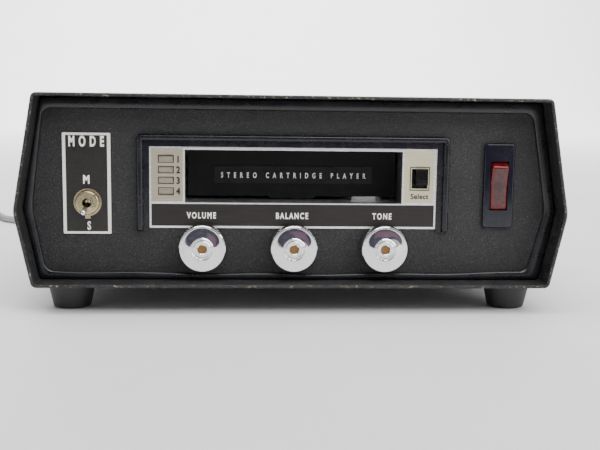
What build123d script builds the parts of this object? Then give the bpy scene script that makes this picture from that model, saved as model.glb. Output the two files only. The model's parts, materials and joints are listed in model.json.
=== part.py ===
"""Table-top cartridge player with its stereo amplifier, in millimetres.

The origin is on the table under the middle of the player. +X is to the right as the listener faces the
front, +Y goes to the back and +Z up. The front, with the cartridge slot and the knobs, faces -Y.
"""

from build123d import *
import math
import os

# ---------------------------------------------------------------- driving dimensions

# Case: a six-sided sleeve, widest at its belt line.
CASE_DEPTH = 220.0
CASE_HEIGHT = 90.7
CASE_TOP_WIDTH = 242.3
CASE_BELT_WIDTH = 261.4
CASE_BOTTOM_WIDTH = 246.2
BELT_RISE = 35.6
CASE_WALL = 1.6
CASE_CORNER = 2.0

# Feet
FOOT_HEIGHT = 13.0
FOOT_TOP_DIAMETER = 23.6
FOOT_BOTTOM_DIAMETER = 17.8
FOOT_SPACING = 216.0
FOOT_INSET = 21.8
FOOT_SCREW = 4.0
FOOT_RECESS_DIAMETER = 9.0
FOOT_RECESS_DEPTH = 6.5

# Sheet metal and rubber edging
SHEET = 1.6
PANEL_RECESS = 14.2
REAR_RECESS = 6.0
EDGING_TOP = 5.9
EDGING_BOTTOM = 4.4
EDGING_SIDE_TOP = 0.9
EDGING_SIDE_BELT = 5.4
EDGING_SIDE_BOTTOM = 2.9
EDGING_THICKNESS = 5.2
EDGING_LAP = 0.9
EDGING_SAG = 1.6
EDGING_CORNER = 7.0
TRAY_LIP = 11.0

# Cartridge slot. A standard cartridge is 101.6 wide and 22.2 thick.
SLOT_WIDTH = 105.0
SLOT_HEIGHT = 25.4
SILL_RISE = 39.0
DOOR_RECESS = 20.3
DOOR_THICKNESS = 1.6
DOOR_PIN = 2.4
BAY_DEPTH = 93.2

# Escutcheon and bezel
ESCUTCHEON_WIDTH = 138.6
ESCUTCHEON_STRIP = 12.2
ESCUTCHEON_BORDER = 1.45
ESCUTCHEON_PROUD = 0.4
ESCUTCHEON_THICKNESS = 2.0
BEAD_WIDTH = 3.0
BEAD_PROUD = 3.0
BEZEL_STRIP = 2.8
BEZEL_PROUD = 0.9
BEZEL_ARM_BELOW = 1.5

# Track windows
TRACKS = 4
TRACK_PITCH = 5.5
TRACK_WINDOW = (7.25, 3.1)
TRACK_X = -61.4
TRACK_TOP = 21.5
LAMP_DIAMETER = 2.6

# Select button, left of centre in its window while it is up
SELECT_WINDOW = (7.9, 9.6)
SELECT_X = 61.05
SELECT_Z = 12.4
SELECT_BUTTON = (5.9, 7.6)
SELECT_PROUD = 2.0
SELECT_TRAVEL = 1.7

# Knobs and control pots
KNOB_PITCH = 43.9
KNOB_ABOVE_EDGING = 0.1
KNOB_DIAMETER = 23.0
KNOB_FRONT = 8.65
KNOB_BACK = 0.8
KNOB_HOLLOW_DIAMETER = 16.0
KNOB_FLOOR = 3.4
HUB_RECESS_DIAMETER = 9.8
HUB_RECESS_DEPTH = 0.9
SHAFT_DIAMETER = 4.0
SHAFT_SHY = 1.3
BUSH_DIAMETER = 7.0
POT_DIAMETER = 20.0
POT_DEPTH = 9.0
POT_NUT = 11.0
POT_NUT_THICKNESS = 2.0

# Mode plate and toggle
MODE_PLATE = (22.5, 48.1)
MODE_X = -98.75
MODE_Z = 8.9
MODE_THICKNESS = 0.8
TOGGLE_BUSH = 6.0
TOGGLE_BORE = 4.4
TOGGLE_RING = 11.4
TOGGLE_RING_THICKNESS = 2.4
TOGGLE_WASHER = 13.2
TOGGLE_WASHER_TAB = 1.2
TOGGLE_WASHER_THICKNESS = 0.8
TOGGLE_LEAN = 13.0
TOGGLE_LENGTH = 15.3
TOGGLE_TIP = 2.8
TOGGLE_STEM = 1.6
TOGGLE_PIN = 1.2
TOGGLE_PIVOT = 0.8
TOGGLE_LUG = (2.0, 5.0, 0.8)
TOGGLE_BODY = (17.0, 16.0, 28.0)

# Mains rocker
ROCKER_X = 99.9
ROCKER_Z = 9.3
ROCKER_BEZEL = (15.0, 41.2)
ROCKER_WINDOW = (8.7, 23.8)
ROCKER_PROUD = 2.0
ROCKER_DEPTH = 22.0
ROCKER_PIVOT = 6.4
ROCKER_SWING = 12.85
ROCKER_LEAN = 7.0
ROCKER_PIN = 2.4

# Tape drive
FLYWHEEL_DIAMETER = 60.0
FLYWHEEL_THICKNESS = 8.0
PULLEY_DIAMETER = 10.0
CAPSTAN_DIAMETER = 5.0
CAPSTAN_AT = (38.0, 4.0)
MOTOR_AT = (88.0, 12.0)
MOTOR_DIAMETER = 38.0
MOTOR_HEIGHT = 36.0
MOTOR_SHAFT = 3.0
BELT_WIDTH = 4.0
BELT_THICKNESS = 1.0
PLATE_LEG = 8.0
PLATE_X = (-62.0, 114.0)
PLATE_SETBACK = 40.0
PLATE_BACK = 56.0
BEARING_DIAMETER = 11.0
HUB_DIAMETER = 12.0
WHEEL_RIM = 8.0
CAM_RADIUS = 6.0
CAM_LIFT = 2.4
CAM_TURN = 270.0
CAM_X = -30.0
CAM_THICKNESS = 3.0
CAM_SHAFT = 4.0
PLUNGER_DIAMETER = 6.0
SOLENOID_TRAVEL = 4.0

# Amplifier and supply
CAN_DIAMETER = 26.0
CAN_HEIGHT = 48.0
CORE_SIZE = (66.0, 30.0, 54.0)
WINDING_SIZE = (42.0, 42.0, 34.0)
SINK_WIDTH = 84.0
SINK_HEIGHT = 56.0
SINK_FINS = 12

BOARD_X = (-118.0, -68.0)
BOARD_Y = (-66.0, 88.0)
BOARD_LIFT = 8.0
BOARD_PILLAR = 6.0
BOARD_PARTS = [(x, y) for y in (-40.0, -12.0, 18.0) for x in (-104.0, -84.0)]
CAN_XS = (-40.0, -8.0)
CAN_Y = 74.0
CORE_AT = (66.0, 79.0)
CORE_LEG = 20.0
SINK_PLATE = 2.6
FIN_THICKNESS = 2.0
TRANSISTOR_XS = (-24.0, 24.0)
TRANSISTOR_CAN = (19.0, 6.4)
TRANSISTOR_FLANGE = 1.6
TRANSISTOR_EARS = (14.0, 5.0)

# Rear panel
REAR_SCREW_XS = (-112.0, -38.0, 34.0, 112.0)
REAR_SCREW = 3.0
REAR_SCREW_HEAD = (6.0, 2.0)
VENTS = 11
VENT_SLOT = (2.8, 20.0)
VENT_PITCH = 5.6
VENT_X = 54.0
VENT_BELOW_TOP = 20.0
SOCKET_XS = (-98.0, -68.0)
SOCKET_BELOW_TOP = 25.0
SOCKET_BODY = 15.0
SOCKET_CORE = 10.0
SOCKET_FLANGE = (26.0, 16.0)
SOCKET_DEPTH = 9.0
FUSE_AT = (-64.0, 42.0)
FUSE_BODY = (12.0, 26.0)
FUSE_CAP = (15.0, 4.5)

# Mains lead
CORD_DIAMETER = 5.3
GROMMET_AT = (-96.0, 32.5)
GROMMET_REACH = 23.0
GROMMET_DIAMETER = 12.0
GROMMET_FLANGE = (16.0, 2.5)
COIL_AT = (-265.0, 227.1)
COIL_MID_RADIUS = 29.15
COIL_RINGS = 4
COIL_LAYERS = 2
PLUG_BODY = (26.0, 34.0, 14.0)
PLUG_AT = (-307.5, 200.0)
PLUG_BOOT = (14.0, 10.5, 7.0)
PLUG_PIN = 4.8
PLUG_PIN_LENGTH = 19.0
PLUG_PIN_SPACING = 19.0

# Clearances
RUNNING = 0.05
FREE = 0.3
SEAT = 0.1
BELT_GAP = 0.15

# ---------------------------------------------------------------- places worked out from them

FRONT = -CASE_DEPTH / 2
BACK = CASE_DEPTH / 2
FLOOR_Z = FOOT_HEIGHT + CASE_WALL
TOP_Z = FOOT_HEIGHT + CASE_HEIGHT
BELT_Z = FOOT_HEIGHT + BELT_RISE
TRAY_Z = FLOOR_Z + SHEET
SILL_Z = FOOT_HEIGHT + SILL_RISE
LINTEL_Z = SILL_Z + SLOT_HEIGHT
PANEL_Y = FRONT + PANEL_RECESS
PANEL_BACK_Y = PANEL_Y + SHEET
FACE_Y = PANEL_Y - ESCUTCHEON_PROUD
FACE_BACK_Y = FACE_Y + ESCUTCHEON_THICKNESS
DOOR_Y = FACE_Y + DOOR_RECESS
BAY_END_Y = FACE_Y + BAY_DEPTH
REAR_Y = BACK - REAR_RECESS
REAR_INNER_Y = REAR_Y - SHEET
KNOB_Z = FLOOR_Z + EDGING_BOTTOM + KNOB_ABOVE_EDGING + KNOB_DIAMETER / 2
KNOB_XS = {"volume": -KNOB_PITCH, "balance": 0.0, "tone": KNOB_PITCH}
GUIDE_WALL = 1.2
GUIDE_FLOOR_Z = SILL_Z - 0.4
GUIDE_INNER = SLOT_WIDTH / 2 + 0.8
HINGE_Z = LINTEL_Z + DOOR_PIN / 2 + 0.3
HINGE_Y = DOOR_Y + DOOR_THICKNESS
BARREL = DOOR_PIN + 2.2
ROOF_Z = HINGE_Z + BARREL / 2 + 0.4
PLATE_TOP_Z = GUIDE_FLOOR_Z - GUIDE_WALL
PLATE_Z = PLATE_TOP_Z - SHEET
WHEEL_Z = PLATE_Z - 4.8 - FLYWHEEL_THICKNESS
WHEEL_TOP_Z = WHEEL_Z + FLYWHEEL_THICKNESS
TOGGLE_AT = (-98.4, SILL_Z)
ROCKER_AT = (ROCKER_X, SILL_Z + ROCKER_Z)
CORD_Z = CORD_DIAMETER / 2 + 0.05

parts = {}


# ---------------------------------------------------------------- shapes that are used often


def block(x, y, z):
    """A box between the two values given for each axis."""
    middle = Pos((x[0] + x[1]) / 2, (y[0] + y[1]) / 2, (z[0] + z[1]) / 2)
    return middle * Box(x[1] - x[0], y[1] - y[0], z[1] - z[0])


def rod_x(y, z, x, diameter):
    """A cylinder along X, between the two values of x."""
    return Pos((x[0] + x[1]) / 2, y, z) * Rot(0, 90, 0) * Cylinder(diameter / 2, x[1] - x[0])


def rod_y(x, z, y, diameter):
    """A cylinder along Y, between the two values of y."""
    return Pos(x, (y[0] + y[1]) / 2, z) * Rot(90, 0, 0) * Cylinder(diameter / 2, y[1] - y[0])


def rod_z(x, y, z, diameter):
    """A cylinder along Z, between the two values of z."""
    return Pos(x, y, (z[0] + z[1]) / 2) * Cylinder(diameter / 2, z[1] - z[0])


def hex_y(x, z, y, across):
    """A hexagonal prism along Y, measured across its flats."""
    return along_y(Pos(x, z) * RegularPolygon(across / math.sqrt(3), 6), y[0], y[1])


def taper_y(x, z, y, start, end):
    """A cone along Y, from the diameter start at y[0] to end at y[1]."""
    cone = Cone(end / 2, start / 2, y[1] - y[0])
    return Pos(x, (y[0] + y[1]) / 2, z) * Rot(90, 0, 0) * cone


def along_y(outline, y0, y1):
    """An outline in X and Z, extruded between two values of Y."""
    return extrude(Plane.XZ.offset(-y1) * outline, amount=y1 - y0)


def outline_xz(x, z, size, corner=0.0):
    """A rectangle in X and Z, about its centre, with rounded corners."""
    shape = RectangleRounded(size[0], size[1], corner) if corner else Rectangle(*size)
    return Pos(x, z) * shape


def six_sided(top, belt, bottom, low, mid, high, corner):
    """A symmetrical six-sided outline from its half widths and heights."""
    points = [(-bottom, low), (bottom, low), (belt, mid), (top, high), (-top, high), (-belt, mid)]
    sketch = Sketch() + Polygon(*points, align=None)
    return fillet(sketch.vertices(), corner)


def case_outline(inset, corner):
    """The case's section, moved in by inset all round."""
    upper = math.hypot(TOP_Z - BELT_Z, (CASE_BELT_WIDTH - CASE_TOP_WIDTH) / 2)
    lower = math.hypot(BELT_RISE, (CASE_BELT_WIDTH - CASE_BOTTOM_WIDTH) / 2)
    upper_lean = (CASE_BELT_WIDTH - CASE_TOP_WIDTH) / 2 / (TOP_Z - BELT_Z)
    lower_lean = (CASE_BELT_WIDTH - CASE_BOTTOM_WIDTH) / 2 / BELT_RISE
    in_upper = inset * upper / (TOP_Z - BELT_Z)
    in_lower = inset * lower / BELT_RISE
    top = CASE_TOP_WIDTH / 2 - in_upper + inset * upper_lean
    bottom = CASE_BOTTOM_WIDTH / 2 - in_lower + inset * lower_lean
    rise = (in_upper - in_lower) / (upper_lean + lower_lean)
    belt = CASE_BELT_WIDTH / 2 - in_upper + rise * upper_lean
    low, high = FOOT_HEIGHT + inset, TOP_Z - inset
    return six_sided(top, belt, bottom, low, BELT_Z - rise, high, corner)


def edging_opening(grow, corner, sag=0.0):
    """The opening inside the rubber edging, made larger by grow all round and by sag below."""
    wall = CASE_WALL - grow
    top = CASE_TOP_WIDTH / 2 - wall - EDGING_SIDE_TOP
    belt = CASE_BELT_WIDTH / 2 - wall - EDGING_SIDE_BELT
    bottom = CASE_BOTTOM_WIDTH / 2 - wall - EDGING_SIDE_BOTTOM
    low = FOOT_HEIGHT + wall + EDGING_BOTTOM - sag
    high = TOP_Z - wall - EDGING_TOP
    return six_sided(top, belt, bottom, low, BELT_Z, high, corner)


# ---------------------------------------------------------------- case


def foot_centres():
    """The four feet: name, x and y."""
    x, y = FOOT_SPACING / 2, CASE_DEPTH / 2 - FOOT_INSET
    sides = {"left": -x, "right": x}
    ends = {"front": -y, "rear": y}
    return [(f"foot_{end}_{side}", sides[side], ends[end]) for end in ends for side in sides]


def case():
    """The sleeve, its feet and the tray inside."""
    hollow = along_y(case_outline(CASE_WALL, CASE_CORNER / 2), FRONT - 1, BACK + 1)
    sleeve = along_y(case_outline(0.0, CASE_CORNER), FRONT, BACK) - hollow
    tray_x = CASE_BOTTOM_WIDTH / 2 - CASE_WALL - 3.0
    tray_y = PANEL_BACK_Y + EDGING_THICKNESS / 2
    tray = block((-tray_x, tray_x), (tray_y, REAR_INNER_Y), (FLOOR_Z, TRAY_Z))
    lip_x = KNOB_PITCH + POT_DIAMETER / 2 + 6.0
    lip_z = FLOOR_Z + EDGING_BOTTOM + 2.0
    for side in (-1, 1):
        lip = sorted((side * lip_x, side * (FOOT_SPACING / 2 - FOOT_RECESS_DIAMETER)))
        tray += block(lip, (tray_y, tray_y + SHEET), (FLOOR_Z, FLOOR_Z + TRAY_LIP))
        tray += block(lip, (PANEL_BACK_Y, tray_y), (lip_z, FLOOR_Z + TRAY_LIP))
    tray += block((-tray_x, tray_x), (REAR_INNER_Y - SHEET, REAR_INNER_Y), (FLOOR_Z, FLOOR_Z + TRAY_LIP))
    screws = []
    for name, x, y in foot_centres():
        hole = rod_z(x, y, (FOOT_HEIGHT - 1, TRAY_Z + 1), FOOT_SCREW + 2 * RUNNING)
        sleeve -= hole
        tray -= hole
        foot = Pos(x, y, FOOT_HEIGHT / 2) * Cone(FOOT_BOTTOM_DIAMETER / 2, FOOT_TOP_DIAMETER / 2, FOOT_HEIGHT)
        foot = fillet(foot.edges().group_by(Axis.Z)[0], 1.2)
        foot -= rod_z(x, y, (-1, FOOT_RECESS_DEPTH), FOOT_RECESS_DIAMETER)
        foot -= rod_z(x, y, (-1, FOOT_HEIGHT + 1), FOOT_SCREW + 2 * RUNNING)
        parts[name] = foot
        head = rod_z(x, y, (FOOT_RECESS_DEPTH - 2.6, FOOT_RECESS_DEPTH), FOOT_RECESS_DIAMETER - 1.4)
        head -= block((x - 0.5, x + 0.5), (y - 5, y + 5), (0, FOOT_RECESS_DEPTH - 1.6))
        screws.append(head + rod_z(x, y, (FOOT_RECESS_DEPTH, TRAY_Z + 3.0), FOOT_SCREW))
    rear_screw_holes = [(x, FLOOR_Z + TRAY_LIP / 2 + 1.0) for x in REAR_SCREW_XS]
    for x, z in rear_screw_holes:
        tray -= rod_y(x, z, (REAR_INNER_Y - 5, REAR_Y), REAR_SCREW + 2 * RUNNING)
    parts["case_sleeve"] = sleeve
    parts["chassis_tray"] = tray
    parts["foot_screws"] = Compound(children=screws)
    return rear_screw_holes


def front_panel():
    """The front panel with every opening in it, and the rubber edging round it."""
    panel = along_y(edging_opening(EDGING_LAP, EDGING_CORNER, EDGING_SAG), PANEL_Y, PANEL_BACK_Y)
    mid_z = (SILL_Z - ESCUTCHEON_STRIP + LINTEL_Z + ESCUTCHEON_BORDER) / 2
    high = SLOT_HEIGHT + ESCUTCHEON_STRIP + ESCUTCHEON_BORDER
    hole = outline_xz(0, mid_z, (ESCUTCHEON_WIDTH + 2 * SEAT, high + 2 * SEAT))
    panel -= along_y(hole, PANEL_Y - 1, PANEL_BACK_Y + 1)
    for x in KNOB_XS.values():
        panel -= rod_y(x, KNOB_Z, (PANEL_Y - 1, PANEL_BACK_Y + 1), BUSH_DIAMETER + 2 * SEAT)
    panel -= rod_y(*TOGGLE_AT, (PANEL_Y - 1, PANEL_BACK_Y + 1), TOGGLE_BUSH + 2 * SEAT)
    body = (ROCKER_BEZEL[0] - 2.4 + 2 * SEAT, ROCKER_BEZEL[1] - 4.4 + 2 * SEAT)
    panel -= along_y(outline_xz(*ROCKER_AT, body), PANEL_Y - 1, PANEL_BACK_Y + 1)
    parts["front_panel"] = panel

    half = EDGING_THICKNESS / 2
    mid_y = (PANEL_Y + PANEL_BACK_Y) / 2
    edging = along_y(case_outline(CASE_WALL + FREE / 2, CASE_CORNER), mid_y - half, mid_y + half)
    edging -= along_y(edging_opening(0.0, EDGING_CORNER), mid_y - half - 1, mid_y + half + 1)
    slot = edging_opening(EDGING_LAP + RUNNING, EDGING_CORNER, EDGING_SAG)
    groove = along_y(slot, PANEL_Y - RUNNING, PANEL_BACK_Y + RUNNING)
    parts["panel_edging"] = edging - groove


def rear_panel(screw_holes):
    """The rear panel, its vents, sockets, heat sink and screws."""
    panel = along_y(case_outline(CASE_WALL + FREE, CASE_CORNER), REAR_INNER_Y, REAR_Y)
    for i in range(VENTS):
        slot = outline_xz(VENT_X + VENT_PITCH * i, TOP_Z - VENT_BELOW_TOP, VENT_SLOT, VENT_SLOT[0] * 0.46)
        panel -= along_y(slot, REAR_INNER_Y - 1, REAR_Y + 1)
    screws = []
    for x, z in screw_holes:
        panel -= rod_y(x, z, (REAR_INNER_Y - 1, REAR_Y + 1), REAR_SCREW + 2 * RUNNING)
        head = rod_y(x, z, (REAR_Y, REAR_Y + REAR_SCREW_HEAD[1]), REAR_SCREW_HEAD[0])
        head -= block((x - 0.4, x + 0.4), (REAR_Y + 1.0, REAR_Y + 3), (z - 4, z + 4))
        screws.append(head + rod_y(x, z, (REAR_INNER_Y - SHEET - 1.5, REAR_Y), REAR_SCREW))
    parts["rear_screws"] = Compound(children=screws)

    sockets = []
    for x in SOCKET_XS:
        z = TOP_Z - SOCKET_BELOW_TOP
        inner_y = REAR_INNER_Y - SOCKET_DEPTH
        body = rod_y(x, z, (inner_y, REAR_Y), SOCKET_BODY)
        flange = along_y(outline_xz(x, z, SOCKET_FLANGE, 2.0), REAR_Y, REAR_Y + SHEET)
        socket = body + flange
        socket -= rod_y(x, z, (REAR_Y - 6.0, REAR_Y + 3), SOCKET_BODY - 2.8)
        socket += rod_y(x, z, (inner_y, REAR_Y - 1.0), SOCKET_CORE)
        socket -= rod_y(x, z + 2.6, (REAR_Y - SOCKET_DEPTH, REAR_Y), 2.8)
        socket -= block((x - 0.6, x + 0.6), (REAR_Y - SOCKET_DEPTH, REAR_Y), (z - 4.2, z - 0.2))
        panel -= rod_y(x, z, (REAR_INNER_Y - 1, REAR_Y + 1), SOCKET_BODY + 2 * SEAT)
        sockets.append(socket)
    parts["speaker_sockets"] = Compound(children=sockets)

    x, z = FUSE_AT
    cap_y = REAR_Y + FUSE_CAP[1]
    fuse = rod_y(x, z, (REAR_INNER_Y - FUSE_BODY[1], REAR_Y), FUSE_BODY[0])
    fuse += rod_y(x, z, (REAR_Y, cap_y), FUSE_CAP[0])
    fuse -= block((x - 4.5, x + 4.5), (cap_y - 1.2, cap_y + 1), (z - 0.7, z + 0.7))
    panel -= rod_y(x, z, (REAR_INNER_Y - 1, REAR_Y + 1), FUSE_BODY[0] + 2 * SEAT)
    parts["fuse_holder"] = fuse

    x, z = GROMMET_AT
    panel -= rod_y(x, z, (REAR_INNER_Y - 1, REAR_Y + 1), GROMMET_DIAMETER + 2 * SEAT)
    grommet = rod_y(x, z, (REAR_INNER_Y - 6.0, REAR_Y), GROMMET_DIAMETER)
    flange_end, boot_end = REAR_Y + GROMMET_FLANGE[1], REAR_Y + GROMMET_REACH
    grommet += rod_y(x, z, (REAR_Y, flange_end), GROMMET_FLANGE[0])
    boot = taper_y(x, z, (flange_end, boot_end), GROMMET_DIAMETER - 1.0, CORD_DIAMETER + 2.3)
    parts["cord_grommet"] = grommet + boot

    sink_z = (TRAY_Z + TOP_Z) / 2 + 2.0
    tip = -TOGGLE_TIP_Y
    sink = along_y(outline_xz(0.0, sink_z, (SINK_WIDTH, SINK_HEIGHT)), REAR_Y, REAR_Y + SINK_PLATE)
    pitch = (SINK_WIDTH - FIN_THICKNESS) / (SINK_FINS - 1)
    for i in range(SINK_FINS):
        x = -SINK_WIDTH / 2 + pitch * i
        fin = (x, x + FIN_THICKNESS)
        sink += block(fin, (REAR_Y, tip), (sink_z - SINK_HEIGHT / 2, sink_z + SINK_HEIGHT / 2))
    parts["heat_sink"] = sink

    transistors = []
    ear_z, ear = TRANSISTOR_EARS
    wide, tall = TRANSISTOR_CAN
    base_y = REAR_INNER_Y - TRANSISTOR_FLANGE
    for x in TRANSISTOR_XS:
        plate = Circle(wide / 2 - 0.5) + Pos(0, ear_z) * Circle(ear) + Pos(0, -ear_z) * Circle(ear)
        plate = Pos(x, sink_z) * (plate + Rectangle(2 * ear - 1, 2 * ear_z))
        case_can = rod_y(x, sink_z, (base_y - tall, base_y), wide)
        transistors.append(along_y(plate, base_y, REAR_INNER_Y) + case_can)
    parts["power_transistors"] = Compound(children=transistors)
    parts["rear_panel"] = panel


# ---------------------------------------------------------------- player front


def player_front():
    """The escutcheon, the beaded bezel round it, and the track windows with their lamps."""
    low, high = SILL_Z - ESCUTCHEON_STRIP, LINTEL_Z + ESCUTCHEON_BORDER
    mid_z = (low + high) / 2
    plate = along_y(outline_xz(0, mid_z, (ESCUTCHEON_WIDTH, high - low)), FACE_Y, FACE_BACK_Y)
    slot = outline_xz(0, SILL_Z + SLOT_HEIGHT / 2, (SLOT_WIDTH, SLOT_HEIGHT))
    plate -= along_y(slot, FACE_Y - 1, FACE_BACK_Y + 1)
    select = outline_xz(SELECT_X, SILL_Z + SELECT_Z, SELECT_WINDOW)
    plate -= along_y(select, FACE_Y - 1, FACE_BACK_Y + 1)
    lenses, lamps = [], None
    for i in range(TRACKS):
        z = SILL_Z + TRACK_TOP - TRACK_PITCH * i
        plate -= along_y(outline_xz(TRACK_X, z, TRACK_WINDOW), FACE_Y - 1, FACE_BACK_Y + 1)
        lens = (TRACK_WINDOW[0] - 2 * RUNNING, TRACK_WINDOW[1] - 2 * RUNNING)
        lenses.append(along_y(outline_xz(TRACK_X, z, lens), FACE_Y + 0.3, FACE_BACK_Y))
        bulb = rod_y(TRACK_X, z, (FACE_BACK_Y + 1.0, FACE_BACK_Y + 6.0), LAMP_DIAMETER)
        lamps = bulb if lamps is None else lamps + bulb
    top, bottom = SILL_Z + TRACK_TOP + 4.0, SILL_Z + TRACK_TOP - TRACK_PITCH * (TRACKS - 1) - 4.0
    side = (TRACK_X - 4.0, TRACK_X + 4.0)
    lamps += block(side, (FACE_BACK_Y + 5.5, FACE_BACK_Y + 8.0), (bottom, top))
    for z in (bottom, top - 1.2):
        lamps += block(side, (FACE_BACK_Y, FACE_BACK_Y + 6.0), (z, z + 1.2))
    parts["escutcheon"] = plate
    parts["track_lenses"] = Compound(children=lenses)
    parts["track_lamps"] = lamps

    inner = ESCUTCHEON_WIDTH / 2 + SEAT
    roof = high + SEAT
    strip, rim = BEZEL_STRIP, BEZEL_STRIP + BEAD_WIDTH
    foot_z = low - BEZEL_ARM_BELOW
    below = foot_z - 20.0

    def frame(start, width, front, corner):
        """A three-sided frame, from start to width outside the escutcheon's hole."""
        wide = inner + width
        outer = outline_xz(0, (below + roof + width) / 2, (2 * wide, roof + width - below), corner)
        hole = outline_xz(0, (below + roof + start) / 2 - 5, (2 * (inner + start), roof + start - below + 10))
        ring = along_y(outer, front, PANEL_Y) - along_y(hole, front - 1, PANEL_Y + 1)
        return ring - block((-wide - 1, wide + 1), (front - 1, PANEL_Y + 1), (below - 1, foot_z))

    bead_y = PANEL_Y - BEAD_PROUD
    bead = frame(strip, rim, bead_y, 2.4)
    bead = fillet(bead.edges().filter_by_position(Axis.Y, bead_y - 0.01, bead_y + 0.01), BEAD_WIDTH * 0.42)
    parts["player_bezel"] = bead + frame(0.0, strip + 0.01, PANEL_Y - BEZEL_PROUD, 1.0)


def select_button():
    """The program button, its shutter and the switch it works."""
    wide, high = SELECT_BUTTON
    top = SILL_Z + SELECT_Z + SELECT_WINDOW[1] / 2 - 0.1
    centre = top - high / 2
    cap = block(
        (SELECT_X + 0.8 - wide / 2, SELECT_X + 0.8 + wide / 2),
        (FACE_Y - SELECT_PROUD, FACE_BACK_Y + FREE),
        (centre - high / 2, centre + high / 2),
    )
    groove = (FACE_Y - SELECT_PROUD - 1, FACE_Y - SELECT_PROUD + 0.5)
    for i in range(4):
        z = centre - high / 2 + 1.7 + 1.4 * i
        cap -= block((SELECT_X - 5, SELECT_X + 6), groove, (z - 0.3, z + 0.3))
    shutter_y = (FACE_BACK_Y + FREE, FACE_BACK_Y + FREE + 0.9)
    shutter = block((SELECT_X - 5.2, SELECT_X + 5.2), shutter_y, (centre - 6.6, centre + 6.6))
    stem_y = (shutter_y[0], shutter_y[1] + 3.5)
    stem = block((SELECT_X - 1.5, SELECT_X + 1.5), stem_y, (centre - 2, centre + 2))
    parts["select_button"] = cap + shutter + stem
    body_y = (shutter_y[1] + FREE, shutter_y[1] + 9.0)
    body = block((SELECT_X - 5.4, SELECT_X + 5.4), body_y, (centre - 12, centre + 9))
    pocket_y = (body_y[0] - 1, stem_y[1] + FREE)
    pocket_z = (centre - 2 - SELECT_TRAVEL - FREE, centre + 2 + FREE)
    body -= block((SELECT_X - 1.5 - FREE, SELECT_X + 1.5 + FREE), pocket_y, pocket_z)
    for z in (centre - 12, centre + 7.8):
        body += block((SELECT_X - 5.4, SELECT_X + 5.4), (FACE_BACK_Y, body_y[1]), (z, z + 1.2))
    parts["select_switch"] = body


def door():
    """The cartridge door, its name strip, its pin and the guide it hangs in."""
    half = SLOT_WIDTH / 2 - FREE
    leaf = block((-half, half), (DOOR_Y, DOOR_Y + DOOR_THICKNESS), (SILL_Z + 1.4, HINGE_Z))
    leaf += block((-11.5, 11.5), (DOOR_Y, DOOR_Y + DOOR_THICKNESS), (SILL_Z + FREE, SILL_Z + 2))
    leaf += rod_x(HINGE_Y, HINGE_Z, (-half, half), BARREL)
    leaf -= rod_x(HINGE_Y, HINGE_Z, (-half - 1, half + 1), DOOR_PIN + 2 * RUNNING)
    parts["cartridge_door"] = leaf
    strip = outline_xz(0.7, SILL_Z + 12.1, (79.2, 8.6), 0.6)
    parts["door_strip"] = along_y(strip, DOOR_Y - 0.5, DOOR_Y)
    wall = GUIDE_INNER + GUIDE_WALL
    parts["door_pin"] = rod_x(HINGE_Y, HINGE_Z, (-wall - 1.5, wall + 1.5), DOOR_PIN)

    span = (FACE_BACK_Y, BAY_END_Y)
    guide = block((-wall, wall), span, (PLATE_TOP_Z, ROOF_Z + GUIDE_WALL))
    guide -= block((-GUIDE_INNER, GUIDE_INNER), (span[0] - 1, span[1] + 1), (GUIDE_FLOOR_Z, ROOF_Z))
    guide -= rod_x(HINGE_Y, HINGE_Z, (-wall - 3, wall + 3), DOOR_PIN + 2 * RUNNING)
    parts["cartridge_guide"] = guide


def knobs():
    """Three knobs on their shafts, and the control pots behind the panel."""
    front, back = FACE_Y - KNOB_FRONT, FACE_Y - KNOB_BACK
    bush_end = PANEL_Y - POT_NUT_THICKNESS - 0.8
    pots, nuts = [], []
    for name, x in KNOB_XS.items():
        knob = rod_y(x, KNOB_Z, (front, back), KNOB_DIAMETER)
        knob = fillet(knob.edges().group_by(Axis.Y)[0], 1.2)
        knob = chamfer(knob.edges().group_by(Axis.Y)[-1], 0.8)
        knob -= rod_y(x, KNOB_Z, (front + KNOB_FLOOR, back + 1), KNOB_HOLLOW_DIAMETER)
        knob -= rod_y(x, KNOB_Z, (front - 1, front + HUB_RECESS_DEPTH), HUB_RECESS_DIAMETER)
        knob += rod_y(x, KNOB_Z, (front + 0.2, front + KNOB_FLOOR), HUB_RECESS_DIAMETER - 1.2)
        knob -= rod_y(x, KNOB_Z, (front - 1, back + 1), SHAFT_DIAMETER)
        parts[f"{name}_knob"] = knob
        shaft_in = PANEL_BACK_Y + POT_DEPTH - 2.0
        parts[f"{name}_shaft"] = rod_y(x, KNOB_Z, (front + SHAFT_SHY, shaft_in), SHAFT_DIAMETER)
        pot = rod_y(x, KNOB_Z, (PANEL_BACK_Y, PANEL_BACK_Y + POT_DEPTH), POT_DIAMETER)
        pot += rod_y(x, KNOB_Z, (bush_end, PANEL_BACK_Y), BUSH_DIAMETER)
        for i in (-1, 0, 1):
            lug_x, lug_z = (x + 5.0 * i - 1.0, x + 5.0 * i + 1.0), KNOB_Z - POT_DIAMETER / 2 - 2.6
            pot += block(lug_x, (PANEL_BACK_Y + 4, PANEL_BACK_Y + 4.6), (lug_z, KNOB_Z))
        pot -= rod_y(x, KNOB_Z, (bush_end - 1, shaft_in + FREE), SHAFT_DIAMETER + 2 * RUNNING)
        pots.append(pot)
        nut = hex_y(x, KNOB_Z, (PANEL_Y - POT_NUT_THICKNESS, PANEL_Y), POT_NUT)
        nuts.append(nut - rod_y(x, KNOB_Z, (bush_end, PANEL_Y + 1), BUSH_DIAMETER + 2 * RUNNING))
    parts["control_pots"] = Compound(children=pots)
    parts["pot_nuts"] = Compound(children=nuts)


# ---------------------------------------------------------------- mode toggle and mains rocker

TOGGLE_PIVOT_Y = PANEL_Y + TOGGLE_PIVOT
TOGGLE_TIP_Y = TOGGLE_PIVOT_Y - TOGGLE_LENGTH * math.cos(math.radians(TOGGLE_LEAN)) - TOGGLE_TIP / 2


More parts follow.
